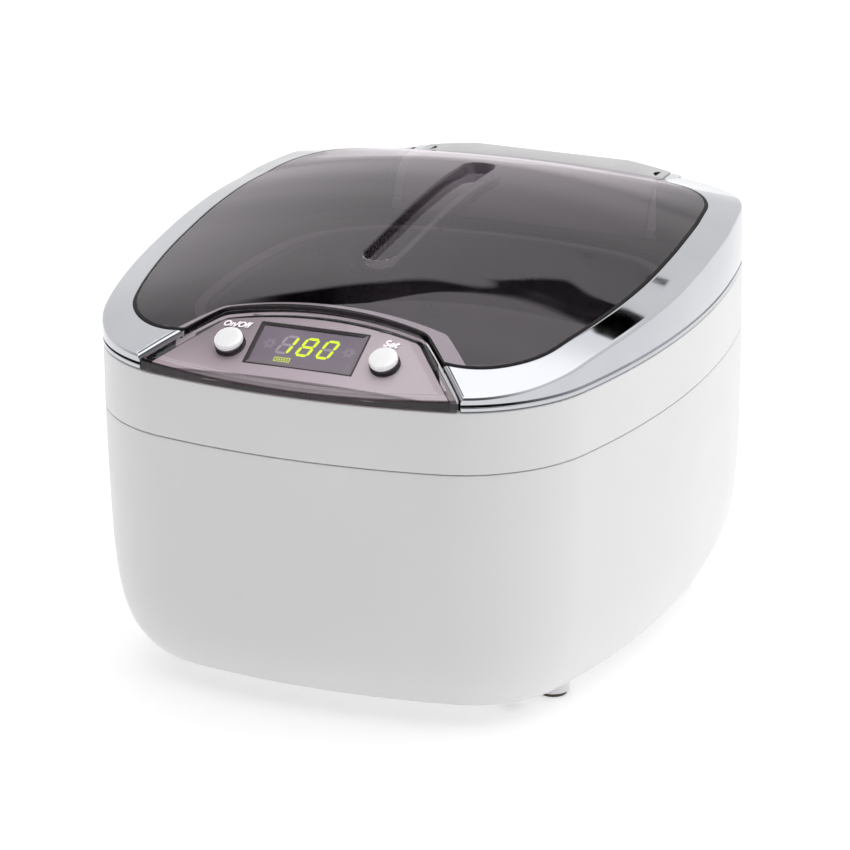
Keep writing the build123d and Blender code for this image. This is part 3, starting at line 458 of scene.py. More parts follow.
# ------------------------------------------------------------------ materials
class Mat:
    """small builder for procedural materials"""

    def __init__(self, name):
        self.m = bpy.data.materials.new(name)
        self.m.use_nodes = True
        self.nt = self.m.node_tree
        self.p = self.nt.nodes["Principled BSDF"]
        self.out = self.nt.nodes["Material Output"]
        self.tc = self.nt.nodes.new("ShaderNodeTexCoord")

    def node(self, kind, **kw):
        n = self.nt.nodes.new(kind)
        for k, v in kw.items():
            setattr(n, k, v)
        return n

    def link(self, a, b):
        self.nt.links.new(a, b)

    def noise(self, scale, detail=2.0, rough=0.5, stretch=(1, 1, 1), distortion=0.0):
        mp = self.node("ShaderNodeMapping")
        mp.inputs["Scale"].default_value = stretch
        self.link(self.tc.outputs["Object"], mp.inputs["Vector"])
        n = self.node("ShaderNodeTexNoise")
        n.inputs["Scale"].default_value = scale
        n.inputs["Detail"].default_value = detail
        n.inputs["Roughness"].default_value = rough
        n.inputs["Distortion"].default_value = distortion
        self.link(mp.outputs["Vector"], n.inputs["Vector"])
        return n.outputs["Fac"]

    def remap(self, v, a, b, lo=0.3, hi=0.7):
        r = self.node("ShaderNodeMapRange")
        r.inputs["From Min"].default_value = lo
        r.inputs["From Max"].default_value = hi
        r.inputs["To Min"].default_value = a
        r.inputs["To Max"].default_value = b
        r.clamp = True
        self.link(v, r.inputs["Value"])
        return r.outputs["Result"]

    def mix(self, f, c0, c1):
        n = self.node("ShaderNodeMix", data_type="RGBA")
        if hasattr(f, "is_output") or not isinstance(f, (int, float)):
            self.link(f, n.inputs["Factor"])
        else:
            n.inputs["Factor"].default_value = f
        for sock, c in ((n.inputs[6], c0), (n.inputs[7], c1)):
            if isinstance(c, (tuple, list)):
                sock.default_value = (*c[:3], 1.0)
            else:
                self.link(c, sock)
        return n.outputs[2]

    def bump(self, height, strength, distance=0.0002, normal=None):
        b = self.node("ShaderNodeBump")
        b.inputs["Strength"].default_value = strength
        b.inputs["Distance"].default_value = distance
        self.link(height, b.inputs["Height"])
        if normal is not None:
            self.link(normal, b.inputs["Normal"])
        self.link(b.outputs["Normal"], self.p.inputs["Normal"])
        return b.outputs["Normal"]

    def set(self, **kw):
        for k, v in kw.items():
            self.p.inputs[k.replace("_", " ")].default_value = v
        return self


def moulded(name, c, rough=0.3, spread=0.05, tint=0.02, grain=900, strength=0.06, metallic=0.0, coat=0.0, ior=1.5):
    """moulded plastic: faint mottling, uneven gloss and a fine surface grain"""
    b = Mat(name)
    big = b.noise(18, 3)
    fine = b.noise(grain, 2, 0.6)
    dark = tuple(max(v - tint, 0) for v in c)
    lite = tuple(min(v + tint * 0.6, 1) for v in c)
    b.link(b.mix(b.remap(big, 0, 1), dark, lite), b.p.inputs["Base Color"])
    b.link(b.remap(b.noise(60, 4, 0.6), rough - spread, rough + spread), b.p.inputs["Roughness"])
    b.bump(fine, strength)
    b.p.inputs["Metallic"].default_value = metallic
    b.p.inputs["Coat Weight"].default_value = coat
    b.p.inputs["Coat Roughness"].default_value = 0.08
    b.p.inputs["IOR"].default_value = ior
    return b.m


def metal(name, c, rough=0.2, spread=0.06, stretch=(1, 1, 1), grain=500, strength=0.05, tint=0.03):
    b = Mat(name)
    lines = b.noise(grain, 3, 0.6, stretch)
    b.link(b.mix(b.remap(lines, 0, 1), tuple(max(v - tint, 0) for v in c), tuple(min(v + tint, 1) for v in c)),
           b.p.inputs["Base Color"])
    b.link(b.remap(b.noise(70, 4, 0.6), rough - spread, rough + spread), b.p.inputs["Roughness"])
    b.p.inputs["Metallic"].default_value = 1.0
    b.bump(lines, strength)
    return b.m


WHITE = moulded("white_abs", (0.76, 0.76, 0.765), rough=0.34, spread=0.05, tint=0.012, grain=1500, strength=0.05)
# the deck under the lid is white ABS, painted dark grey as the shade it lies in
DECK_SHADE = moulded("deck_abs_painted_shade", (0.042, 0.040, 0.042), rough=0.42, tint=0.006, grain=1300, strength=0.08)
# the shoulder beside the panel: white ABS made brighter and given a glow, painted light where it is lit through the lid
SHOULDER_GLOW = moulded("shoulder_abs_painted_glow", (0.95, 0.95, 0.955), rough=0.4, tint=0.01, grain=1300, strength=0.05)
for k, v in (("Emission Color", (1.0, 0.99, 1.0, 1.0)), ("Emission Strength", 0.50)):
    SHOULDER_GLOW.node_tree.nodes["Principled BSDF"].inputs[k].default_value = v
# the hinge block is the same white ABS, darkened as painted shade
HINGE_SHADED_WHITE = moulded("hinge_white_abs_painted_shade", (0.56, 0.56, 0.565), rough=0.36, tint=0.012, grain=1500, strength=0.05)
# painted black shade for the gap round the window and the window's dark edge
EDGE_SHADE = moulded("window_edge_painted_shade", (0.012, 0.011, 0.012), rough=0.5, spread=0.05, tint=0.004, grain=900, strength=0.05)
EDGE_SHADE.node_tree.nodes["Principled BSDF"].inputs["Specular IOR Level"].default_value = 0.12
# dark marks used only as painted shade: the drop shadow of the print, the step under the plate and the tab recesses
SHADE_MARK = moulded("dark_painted_shade", (0.07, 0.065, 0.07), rough=0.45, tint=0.006)
# light slivers that are painted glints on the cover's snap tabs
TAB_GLINT = moulded("tab_painted_glint", (0.62, 0.61, 0.62), rough=0.4, tint=0.012)
WHITE_IN = moulded("white_abs_inner", (0.80, 0.80, 0.80), rough=0.45, tint=0.02)
FOOT = moulded("foot_rubber", (0.055, 0.035, 0.025), rough=0.65, grain=2500, strength=0.2)
BUMPER = moulded("bumper_rubber", (0.55, 0.55, 0.54), rough=0.5, grain=1800, strength=0.1)
SILICONE = moulded("silicone", (0.20, 0.195, 0.20), rough=0.5, grain=1500, strength=0.08)
DARK = moulded("dark_abs", (0.035, 0.034, 0.036), rough=0.4, grain=1200, strength=0.1)
# black plastic of the power inlet; also painted black shade in the channel round the panel and on the shaded walls of
# the display frame
BLACK_AND_SHADE = moulded("black_abs_and_painted_shade", (0.02, 0.02, 0.02), rough=0.38, grain=1600, strength=0.12)
CHIP = moulded("epoxy_black", (0.018, 0.018, 0.018), rough=0.6, grain=2500, strength=0.15)
FERRITE = moulded("ferrite", (0.06, 0.06, 0.065), rough=0.55, grain=2200, strength=0.2)
CAPSLEEVE = moulded("capacitor_sleeve", (0.02, 0.03, 0.09), rough=0.25, grain=900)
CERAMIC = moulded("piezo_ceramic", (0.30, 0.29, 0.27), rough=0.7, grain=2600, strength=0.15)
BOARD = moulded("circuit_board", (0.02, 0.16, 0.07), rough=0.35, grain=700, strength=0.1, tint=0.02)
STEEL = metal("drawn_steel", (0.44, 0.445, 0.455), rough=0.22, spread=0.07, stretch=(1, 1, 14), grain=260, strength=0.04)
SCREW = metal("zinc_screw", (0.55, 0.55, 0.56), rough=0.3, grain=900)
ALU = metal("turned_aluminium", (0.66, 0.66, 0.68), rough=0.32, stretch=(1, 1, 30), grain=300)
COPPER = metal("copper_strip", (0.72, 0.38, 0.22), rough=0.3)
NICKEL = metal("nickel_plate", (0.68, 0.67, 0.64), rough=0.22)


def chrome():
    b = Mat("chrome_plate")
    film = b.noise(22, 4, 0.55)
    b.link(b.mix(b.remap(film, 0, 1), (0.49, 0.50, 0.53), (0.54, 0.55, 0.58)), b.p.inputs["Base Color"])
    b.link(b.remap(b.noise(90, 5, 0.65), 0.015, 0.05), b.p.inputs["Roughness"])
    b.p.inputs["Metallic"].default_value = 1.0
    b.bump(b.noise(55, 2), 0.012, 0.0004)
    return b.m


def rim_groove_painted_shade():
    """the groove low on the rim: painted black shade at the front corners, fading into chrome along the sides"""
    b = Mat("rim_groove_painted_shade")
    sep = b.node("ShaderNodeSeparateXYZ")
    b.link(b.tc.outputs["Object"], sep.inputs[0])
    ab = b.node("ShaderNodeMath", operation="ABSOLUTE")
    b.link(sep.outputs["X"], ab.inputs[0])
    side = b.remap(ab.outputs[0], 0.0, 1.0, 0.068, 0.084)
    film = b.mix(b.remap(b.noise(22, 4, 0.55), 0, 1), (0.40, 0.41, 0.44), (0.46, 0.47, 0.50))
    b.link(b.mix(side, (0.012, 0.012, 0.013), film), b.p.inputs["Base Color"])
    b.link(b.remap(b.noise(90, 5, 0.65), 0.12, 0.2), b.p.inputs["Roughness"])
    b.p.inputs["Metallic"].default_value = 1.0
    b.bump(b.noise(55, 2), 0.02, 0.0004)
    return b.m


def smoke(name, tint, reflect_rough=0.014, ior=1.5, extra=0.0, gloss=(1.0, 1.0, 1.0)):
    """tinted clear plastic: what lies behind shows through, with a gloss that grows at grazing angles"""
    b = Mat(name)
    tr = b.node("ShaderNodeBsdfTransparent")
    mott = b.noise(14, 3, 0.5)
    dk = tuple(v * 0.95 for v in tint)
    b.link(b.mix(b.remap(mott, 0, 1), dk, tint), tr.inputs["Color"])
    b.link(b.remap(b.noise(40, 5, 0.7), reflect_rough, reflect_rough * 2.4), b.p.inputs["Roughness"])
    wave = b.bump(b.noise(30, 1), 0.002, 0.0004)
    b.p.inputs["Base Color"].default_value = (0.02, 0.018, 0.02, 1)
    b.p.inputs["IOR"].default_value = ior
    fr = b.node("ShaderNodeFresnel")
    fr.inputs["IOR"].default_value = ior
    # only the outward faces mirror: the inward ones just tint
    geo = b.node("ShaderNodeNewGeometry")
    front = b.node("ShaderNodeMath", operation="SUBTRACT")
    front.inputs[0].default_value = 1.0
    b.link(geo.outputs["Backfacing"], front.inputs[1])
    mu = b.node("ShaderNodeMath", operation="MULTIPLY")
    b.link(fr.outputs["Fac"], mu.inputs[0])
    b.link(front.outputs[0], mu.inputs[1])
    fac = mu.outputs[0]
    if extra:
        ad = b.node("ShaderNodeMath", operation="ADD", use_clamp=True)
        b.link(fac, ad.inputs[0])
        ad.inputs[1].default_value = extra
        fac = ad.outputs[0]
    mx = b.node("ShaderNodeMixShader")
    gl = b.node("ShaderNodeBsdfGlossy")
    b.link(b.remap(b.noise(40, 2, 0.5), reflect_rough, reflect_rough * 1.6), gl.inputs["Roughness"])
    b.link(wave, gl.inputs["Normal"])
    gl.inputs["Color"].default_value = (*gloss, 1)
    b.link(fac, mx.inputs["Fac"])
    b.link(tr.outputs["BSDF"], mx.inputs[1])
    b.link(gl.outputs["BSDF"], mx.inputs[2])
    b.link(mx.outputs["Shader"], b.out.inputs["Surface"])
    return b.m


CHROME = chrome()
GROOVE_SHADE = rim_groove_painted_shade()
SMOKE = smoke("smoke_lid", (0.635, 0.600, 0.627), gloss=(1.0, 0.945, 0.99))
COVER = smoke("smoke_cover", (0.965, 0.938, 0.952))
COVER_EDGE = smoke("smoke_cover_edge", (0.47, 0.42, 0.445))


def along_y(b, y0, y1):
    """0 at y0 and 1 at y1 (metres), smooth between"""
    sep = b.node("ShaderNodeSeparateXYZ")
    b.link(b.tc.outputs["Object"], sep.inputs[0])
    return b.remap(sep.outputs["Y"], 0.0, 1.0, y0, y1)


def along_x(b, x0, x1):
    """0 at x0 and 1 at x1 (metres), smooth between"""
    sep = b.node("ShaderNodeSeparateXYZ")
    b.link(b.tc.outputs["Object"], sep.inputs[0])
    return b.remap(sep.outputs["X"], 0.0, 1.0, x0, x1)


def console_mat():
    """painted shade: a grey strip below the plate, near black round the rest of it"""
    b = Mat("console_abs_painted_shade")
    fine = b.noise(1300, 2, 0.6)
    strip = b.mix(b.remap(b.noise(18, 3), 0, 1), (0.355, 0.335, 0.350), (0.375, 0.355, 0.370))
    b.link(b.mix(along_y(b, -0.1000, -0.0975), strip, (0.045, 0.040, 0.043)), b.p.inputs["Base Color"])
    b.link(b.remap(b.noise(60, 4, 0.6), 0.38, 0.46), b.p.inputs["Roughness"])
    b.bump(fine, 0.06)
    return b.m


def plate_mat():
    """silver print with a mauve cast; painted shade darkens it towards the rear and painted light brightens it from the
    left towards the right
    """
    b = Mat("silver_mauve_print_and_painted_light")
    flake = b.noise(4200, 2, 0.7)
    cloud = b.noise(30, 3)
    low = b.mix(b.remap(cloud, 0, 1), (0.69, 0.638, 0.672), (0.73, 0.678, 0.712))
    high = b.mix(b.remap(cloud, 0, 1), (0.25, 0.226, 0.242), (0.28, 0.255, 0.272))
    bright = b.mix(b.remap(cloud, 0, 1), (0.76, 0.718, 0.748), (0.79, 0.748, 0.778))
    # painted shade towards the rear, painted light from the left towards the right
    base = b.mix(along_y(b, -0.0985, -0.0835), low, high)
    base = b.mix(along_x(b, -0.046, 0.012), base, bright)
    b.link(b.mix(b.remap(flake, 0, 0.2), base, (0.72, 0.68, 0.71)), b.p.inputs["Base Color"])
    b.p.inputs["Metallic"].default_value = 0.1
    b.link(b.remap(b.noise(200, 3), 0.36, 0.48), b.p.inputs["Roughness"])
    b.bump(flake, 0.05, 0.0001)
    return b.m


def lcd_mat():
    b = Mat("display_glass")
    c = b.mix(b.remap(b.noise(60, 3), 0, 1), (0.305, 0.283, 0.340), (0.345, 0.322, 0.383))
    b.link(c, b.p.inputs["Base Color"])
    b.link(b.remap(b.noise(300, 3), 0.28, 0.38), b.p.inputs["Roughness"])
    b.bump(b.noise(1200, 2), 0.03)
    return b.m


def glow(name, c, strength):
    b = Mat(name)
    f = b.remap(b.noise(500, 2), 0.88, 1.0)
    b.link(b.mix(f, (0, 0, 0), c), b.p.inputs["Base Color"])
    b.p.inputs["Emission Color"].default_value = (*c, 1)
    b.p.inputs["Emission Strength"].default_value = strength
    b.p.inputs["Roughness"].default_value = 0.5
    b.bump(b.noise(900, 2), 0.02)
    return b.m


PLATE = plate_mat()
CONSOLE_SHADE = console_mat()
LCD = lcd_mat()
LIT = glow("lit_segment", (0.56, 0.80, 0.02), 1.1)
GHOST = moulded("ghost_segment", (0.60, 0.575, 0.64), rough=0.4, tint=0.01)
# the lit grey side of the display frame, painted light
FRAME_LIT_SIDE = moulded("display_frame_painted_light", (0.30, 0.29, 0.31), rough=0.35, tint=0.01)
PRINT_GLOW = moulded("white_print_painted_glow", (0.95, 0.94, 0.95), rough=0.5, tint=0.01)
# the white print is given a glow as painted light
for k, v in (("Emission Color", (1.0, 1.0, 1.0, 1.0)), ("Emission Strength", 0.8)):
    PRINT_GLOW.node_tree.nodes["Principled BSDF"].inputs[k].default_value = v
BTN_CAP_GLOW = moulded("button_cap_painted_glow", (0.93, 0.93, 0.94), rough=0.3, spread=0.05, tint=0.015, metallic=0.2, grain=800)
# a faint glow on the cap is painted light
for k, v in (("Emission Color", (1.0, 1.0, 1.0, 1.0)), ("Emission Strength", 0.12)):
    BTN_CAP_GLOW.node_tree.nodes["Principled BSDF"].inputs[k].default_value = v
BTN_SIDE = metal("button_side", (0.22, 0.22, 0.23), rough=0.2)

# ------------------------------------------------------------------ tub
def tub_ring(z, grow=0.0, extra=0.0):
    ds, df, rc = [f(z) for f in TUB_F]
    pts = outline(HALF_W - ds - grow, HALF_D - df - grow, R_SIDE - ds, R_FRONT - df, max(rc - grow, 10.0))
    return [(p[0], p[1], z + extra) for p in pts]


def tub_inner_ring(z):
    ds, df, rc = [f(max(z - 1.9, 3.6)) for f in TUB_F]
    k = WALL + 0.25 * min(ds, 6.0) / 6.0
    pts = outline(HALF_W - ds - k, HALF_D - df - k, R_SIDE - ds - k, R_FRONT - df - k, rc - WALL)
    return [(p[0], p[1], z) for p in pts]


def make_tub():
    lv = [3.2, 3.35, 3.6, 3.95, 4.4, 4.95, 5.6, 6.35, 7.2, 8.2, 9.4, 10.8, 12.4, 14.2, 16.3, 18.8, 21.7, 25.0, 28.8,
          33.2, 38.2, 44.0, 50.5, 58.0, 66.0, 74.0, 81.0, 86.0]
    loops = [tub_ring(z) for z in lv]
    for d, dz in ((0.0, -0.34), (0.03, -0.20), (0.12, -0.08), (0.30, 0.0)):
        loops.append(tub_ring(88.2 + dz, d))
    loops.append([(p[0], p[1], 88.2) for p in tub_inner_ring(88.2)])
    for z in (84.0, 76.0, 62.0, 49.0, 39.0, 31.0, 25.0, 20.2, 16.4, 13.2, 10.6, 8.6, 7.0, 5.9):
        loops.append(tub_inner_ring(z))
    tub = rings("tub_shell", loops, [], None)
    cut = []
    for ix in (-13.0, 13.0):
        for k in range(-4, 5):
            pts = []
            for i in range(24):
                a = 2 * math.pi * i / 24
                pts.append((ix + (8.8 if math.cos(a) > 0 else -8.8) + 1.2 * math.cos(a), 5.6 * k + 1.2 * math.sin(a)))
            cut.append(prism("v", pts, 2.0, 8.0))
    for x, y in CORNERS:
        cut.append(cyl("c", (x, y, 0.0), (0, 0, 1), 3.1, 12.0, 32))
    for x, y in FEET:
        cut.append(cyl("c", (x, y, 0.0), (0, 0, 1), 2.0, 4.3, 24))
    pts = []
    for cx, cz, a0 in ((7.3, 3.3, 0), (-7.3, 3.3, 90), (-7.3, -3.3, 180), (7.3, -3.3, 270)):
        for i in range(9):
            a = math.radians(a0 + 90 * i / 8)
            pts.append((INLET_X + cx + 3.0 * math.cos(a), INLET_Z + cz + 3.0 * math.sin(a)))
    cut.append(rings("i", [[(p[0], y, p[1]) for p in pts] for y in (88.0, 110.0)], [], None))
    boolean(tub, join("cutters", cut), "DIFFERENCE")
    add = [tub]
    for x, y in CORNERS:
        prof = [(3.1, 3.4), (4.6, 4.6), (4.6, 30.0), (1.7, 30.0), (1.7, 12.0), (3.1, 12.0), (3.1, 3.4)]
        add.append(rings("t", [[(x + r * math.cos(2 * math.pi * i / 40), y + r * math.sin(2 * math.pi * i / 40), z)
                                for i in range(40)] for r, z in prof], [], None, caps=False))
    for x, y in FEET:
        prof = [(2.0, 1.3), (4.85, 1.3), (5.0, 1.36), (5.1, 1.5), (5.1, 6.8), (2.0, 6.8), (2.0, 1.3)]
        add.append(rings("t", [[(x + r * math.cos(2 * math.pi * i / 48), y + r * math.sin(2 * math.pi * i / 48), z)
                                for i in range(48)] for r, z in prof], [], None, caps=False))
    ob = join("tub", add)
    return finish_piece(ob, WHITE, "root", "lower_housing", smooth=38.0)


make_tub()

# ------------------------------------------------------------------ pieces whose CAD shape is right
band = refined("upper_housing", WHITE, "top_band_and_deck", smooth=30)
for m in (DECK_SHADE, HINGE_SHADED_WHITE, BLACK_AND_SHADE, SHOULDER_GLOW):
    band.data.materials.append(m)
CHANNEL = [(p[0], p[1]) for p in panel_pts(1.36)]
# faces under the lid and the hinge block take painted shade, the channel round the panel painted black shade, the
# shoulder by the panel a painted glow
for p in band.data.polygons:
    c = p.center / MM
    if 103.5 < c.z < 106.6 and abs(c.x) < 86 and abs(c.y) < 101 and (p.normal.z > 0.9 or abs(p.normal.z) < 0.1):
        p.material_index = 1
    elif c.y > 74 and abs(c.x) < 45 and c.z > 109 and (p.normal.z > 0.25 or p.normal.y < 0.3):
        p.material_index = 2
    elif c.y < -72 and c.z > 108.85 and inside(CHANNEL, (c.x, c.y)):
        p.material_index = 3
    elif -89 < c.y < -55 and abs(c.x) < 50 and c.z > 107.5:
        p.material_index = 4
refined("rubber_feet", FOOT, "feet", smooth=40)
refined("lid_bumpers", BUMPER, "bumpers", smooth=40)
refined("tank", STEEL, "steel_tank", smooth=40)
refined("tank_gasket", SILICONE, "gasket_under_tank")
refined("lid_seal", SILICONE, "seal_under_lid", bevel=0.2)
refined("lid_frame", DARK, "inner_frame", smooth=30)
refined("lid_screws", SCREW, "screws_in_frame", smooth=40)
refined("hinge_arms", WHITE, "arms", smooth=35)
refined("hinge_pins", NICKEL, "pins", smooth=40)
refined("power_inlet", BLACK_AND_SHADE, "inlet_socket", smooth=40, bevel=0.3)
refined("inlet_pins", NICKEL, "socket_pins", smooth=40)
refined("housing_screws", SCREW, "base_screws", smooth=40)
for node, m in (("transducer_horn", ALU), ("piezo_rings", CERAMIC), ("electrode_tabs", COPPER),
                ("transducer_backmass", STEEL), ("transducer_bolt", SCREW), ("driver_board", BOARD),
                ("board_screws", SCREW), ("board_transformer", FERRITE), ("board_inductor", COPPER),
                ("board_capacitors", CAPSLEEVE), ("heatsink", ALU), ("power_transistors", CHIP),
                ("display_module", CHIP), ("display_board", BOARD), ("tact_switches", CHIP),
                ("panel_screws", SCREW)):
    me = NODES[node].data
    me.materials.clear()
    me.materials.append(m)


# ------------------------------------------------------------------ lid window
def clip_plan():
    """plan of the lid window: outline, rear tongue, and the bite round the control panel"""
    pan = [(p[0], p[1]) for p in panel_pts(PAN_GAP, n_front=20, n_side=40, n_corner=20, n_rear=90)]
    pts = [(p[0], p[1]) for p in window_pts(-0.45, n=(160, 60, 80))]

    body, done = [], False
    for x, y in pts:
        if y > 60 and abs(x) < 47.8:
            if not done:
                yr = WIN_BR - 0.45 - 47.8**2 / (2 * WIN_RR)
                body += [(47.8, yr), (47.8, 88.5), (-47.8, 88.5), (-47.8, yr)]
                done = True
            continue
        body.append((x, y))
    # the bite: drop what lies in the panel and walk round it from right to left
    keep = [p for p in body if not (inside(pan, p) or (p[1] < -85 and abs(p[0]) < 40))]
    right = [p for p in keep if p[0] > 0 and p[1] < 0]
    start = min(range(len(keep)), key=lambda i: (keep[i][1] > 0, keep[i][0] < 0, abs(keep[i][0])))
    keep = keep[start:] + keep[:start]
    bite = sorted([p for p in pan if inside(pts, p)], key=lambda p: p[0])
    return keep + bite


LID_PLAN = clip_plan()


def grid_lines(lo, hi, fine, base):
    """sorted coordinates: base spacing, and fine spacing inside the given (from, to, step) spans"""
    out = []
    v = lo
    while v < hi - 1e-6:
        out.append(v)
        s = base
        for a, b, st in fine:
            if a - 1e-6 <= v < b - 1e-6:
                s = st
            elif v < a < v + s:
                s = a - v
        v += s
    out.append(hi)
    return out


def make_window():
    pos = grid_lines(0.0, 86.0, [(0.0, 4.4, 0.9), (4.4, 8.2, 0.26), (8.2, 12, 1.2)], 2.6)
    xs = [-v for v in reversed(pos[1:])] + pos
    ys = grid_lines(-92.0, 92.0, [(-43.5, -35.0, 0.42), (41.0, 49.5, 0.42)], 2.4)
    nx, ny = len(xs), len(ys)
    top = [(x, y, lid_top(x, y)) for y in ys for x in xs]
    bot = [(x, y, lid_bottom(x, y)) for y in ys for x in xs]
    faces = []
    n = nx * ny
    for j in range(ny - 1):
        for i in range(nx - 1):
            a = j * nx + i
            faces.append((a, a + 1, a + nx + 1, a + nx))
            faces.append((n + a, n + a + nx, n + a + nx + 1, n + a + 1))
    for i in range(nx - 1):
        faces.append((i, n + i, n + i + 1, i + 1))
        a = (ny - 1) * nx + i
        faces.append((a, a + 1, n + a + 1, n + a))
    for j in range(ny - 1):
        a = j * nx
        faces.append((a, a + nx, n + a + nx, n + a))
        a = j * nx + nx - 1
        faces.append((a, n + a, n + a + nx, a + nx))
    slab = add_mesh("window_slab", top + bot, faces, [], None)
    boolean(slab, prism("w", LID_PLAN, 95.0, 165.0), "INTERSECT")
    boolean(slab, cyl("h", (-60, HINGE_Y, HINGE_Z), (1, 0, 0), HINGE_R + 0.6, 120.0, 160), "DIFFERENCE")
    ob = finish_piece(slab, SMOKE, "lid", "lid_window", smooth=40.0, weld=0.004)
    ob.name = "smoke_window"
    return ob


make_window()


def cut_for_panel_and_hinge(ob, half_front, half_rear):
    boolean(ob, join("z", [prism("p", panel_pts(PAN_GAP), 90, 170)]), "DIFFERENCE")
    for hx, y0, y1 in ((half_front, -130, -98), (half_rear, 60, 130)):
        boolean(ob, prism("f", [(-hx, y0), (hx, y0), (hx, y1), (-hx, y1)], 90, 170), "DIFFERENCE")


def make_border():
    """black band round the window's edge: painted shade for the gap and the dark edge of the window"""
    prof = ((-0.02, -0.60), (-0.02, -0.14), (-0.12, -0.03), (-0.30, 0.02), (-0.95, 0.03), (-1.10, 0.0), (-1.14, -0.08),
            (-1.14, -0.60))
    loops = []
    for d, dz in prof:
        loops.append([(x, y, lid_top(x, y) + dz) for x, y, _, _ in window_pts(d, n=(70, 50, 60))])
    n = len(loops[0])
    verts = [p for lp in loops for p in lp]
    faces = []
    for k in range(len(loops)):
        kk = (k + 1) % len(loops)
        for i in range(n):
            j = (i + 1) % n
            faces.append((k * n + i, k * n + j, kk * n + j, kk * n + i))
    ob = add_mesh("border", verts, faces, [], None)
    cut_for_panel_and_hinge(ob, 55.4, 47.8)
    finish_piece(ob, EDGE_SHADE, "lid", smooth=40.0, weld=0.002)
    ob.name = "window_edge_shade_band"


def make_bite_edge():
    """black edge of the window along the control panel, painted shade for the gap there"""
    k = dict(n_front=2, n_side=40, n_corner=16, n_rear=60)
    prof = ((0.02, -2.3), (0.02, -0.10), (0.10, -0.02), (0.25, 0.02), (0.62, 0.02), (0.72, -0.04), (0.74, -2.3))
    rows = [panel_pts(PAN_GAP + g, **k) for g, _ in prof]
    loops = []
    win = [(p[0], p[1]) for p in window_pts(-0.9)]
    for i in range(2, len(rows[0])):
        if inside(win, rows[3][i][:2]):
            loops.append([(rw[i][0], rw[i][1], roof_z(rw[i][0], rw[i][1]) + h) for rw, (g, h) in zip(rows, prof)])
    ob = rings("window_panel_edge", loops, EDGE_SHADE, "lid", smooth=40.0)
    return ob


make_border()
make_bite_edge()


# ------------------------------------------------------------------ chromed rims
GROOVE_IN = [(p[0], p[1]) for p in body_pts(1.2)]


def roll_tool(r):
    """cutter that rounds the rim's edge along the panel with radius r"""
    k = dict(n_front=2, n_side=40, n_corner=16, n_rear=60)
    gs = [(-0.6, 0.8), (r + 0.02, 0.8)] + [(r * (1 - math.cos(math.radians(a))), -r * (1 - math.sin(math.radians(a))))
                                            for a in (90, 75, 60, 45, 30, 15, 0)] + [(-0.6, -r)]
    rows = [panel_pts(PAN_GAP + g, **k) for g, _ in gs]
    loops = []
    for i in range(2, len(rows[0])):
        ex, ey = rows[0][i][:2]
        loops.append([(rw[i][0], rw[i][1], roof_z(rw[i][0], rw[i][1]) + h) for rw, (g, h) in zip(rows, gs)])
    return rings("roll", loops, [], None)


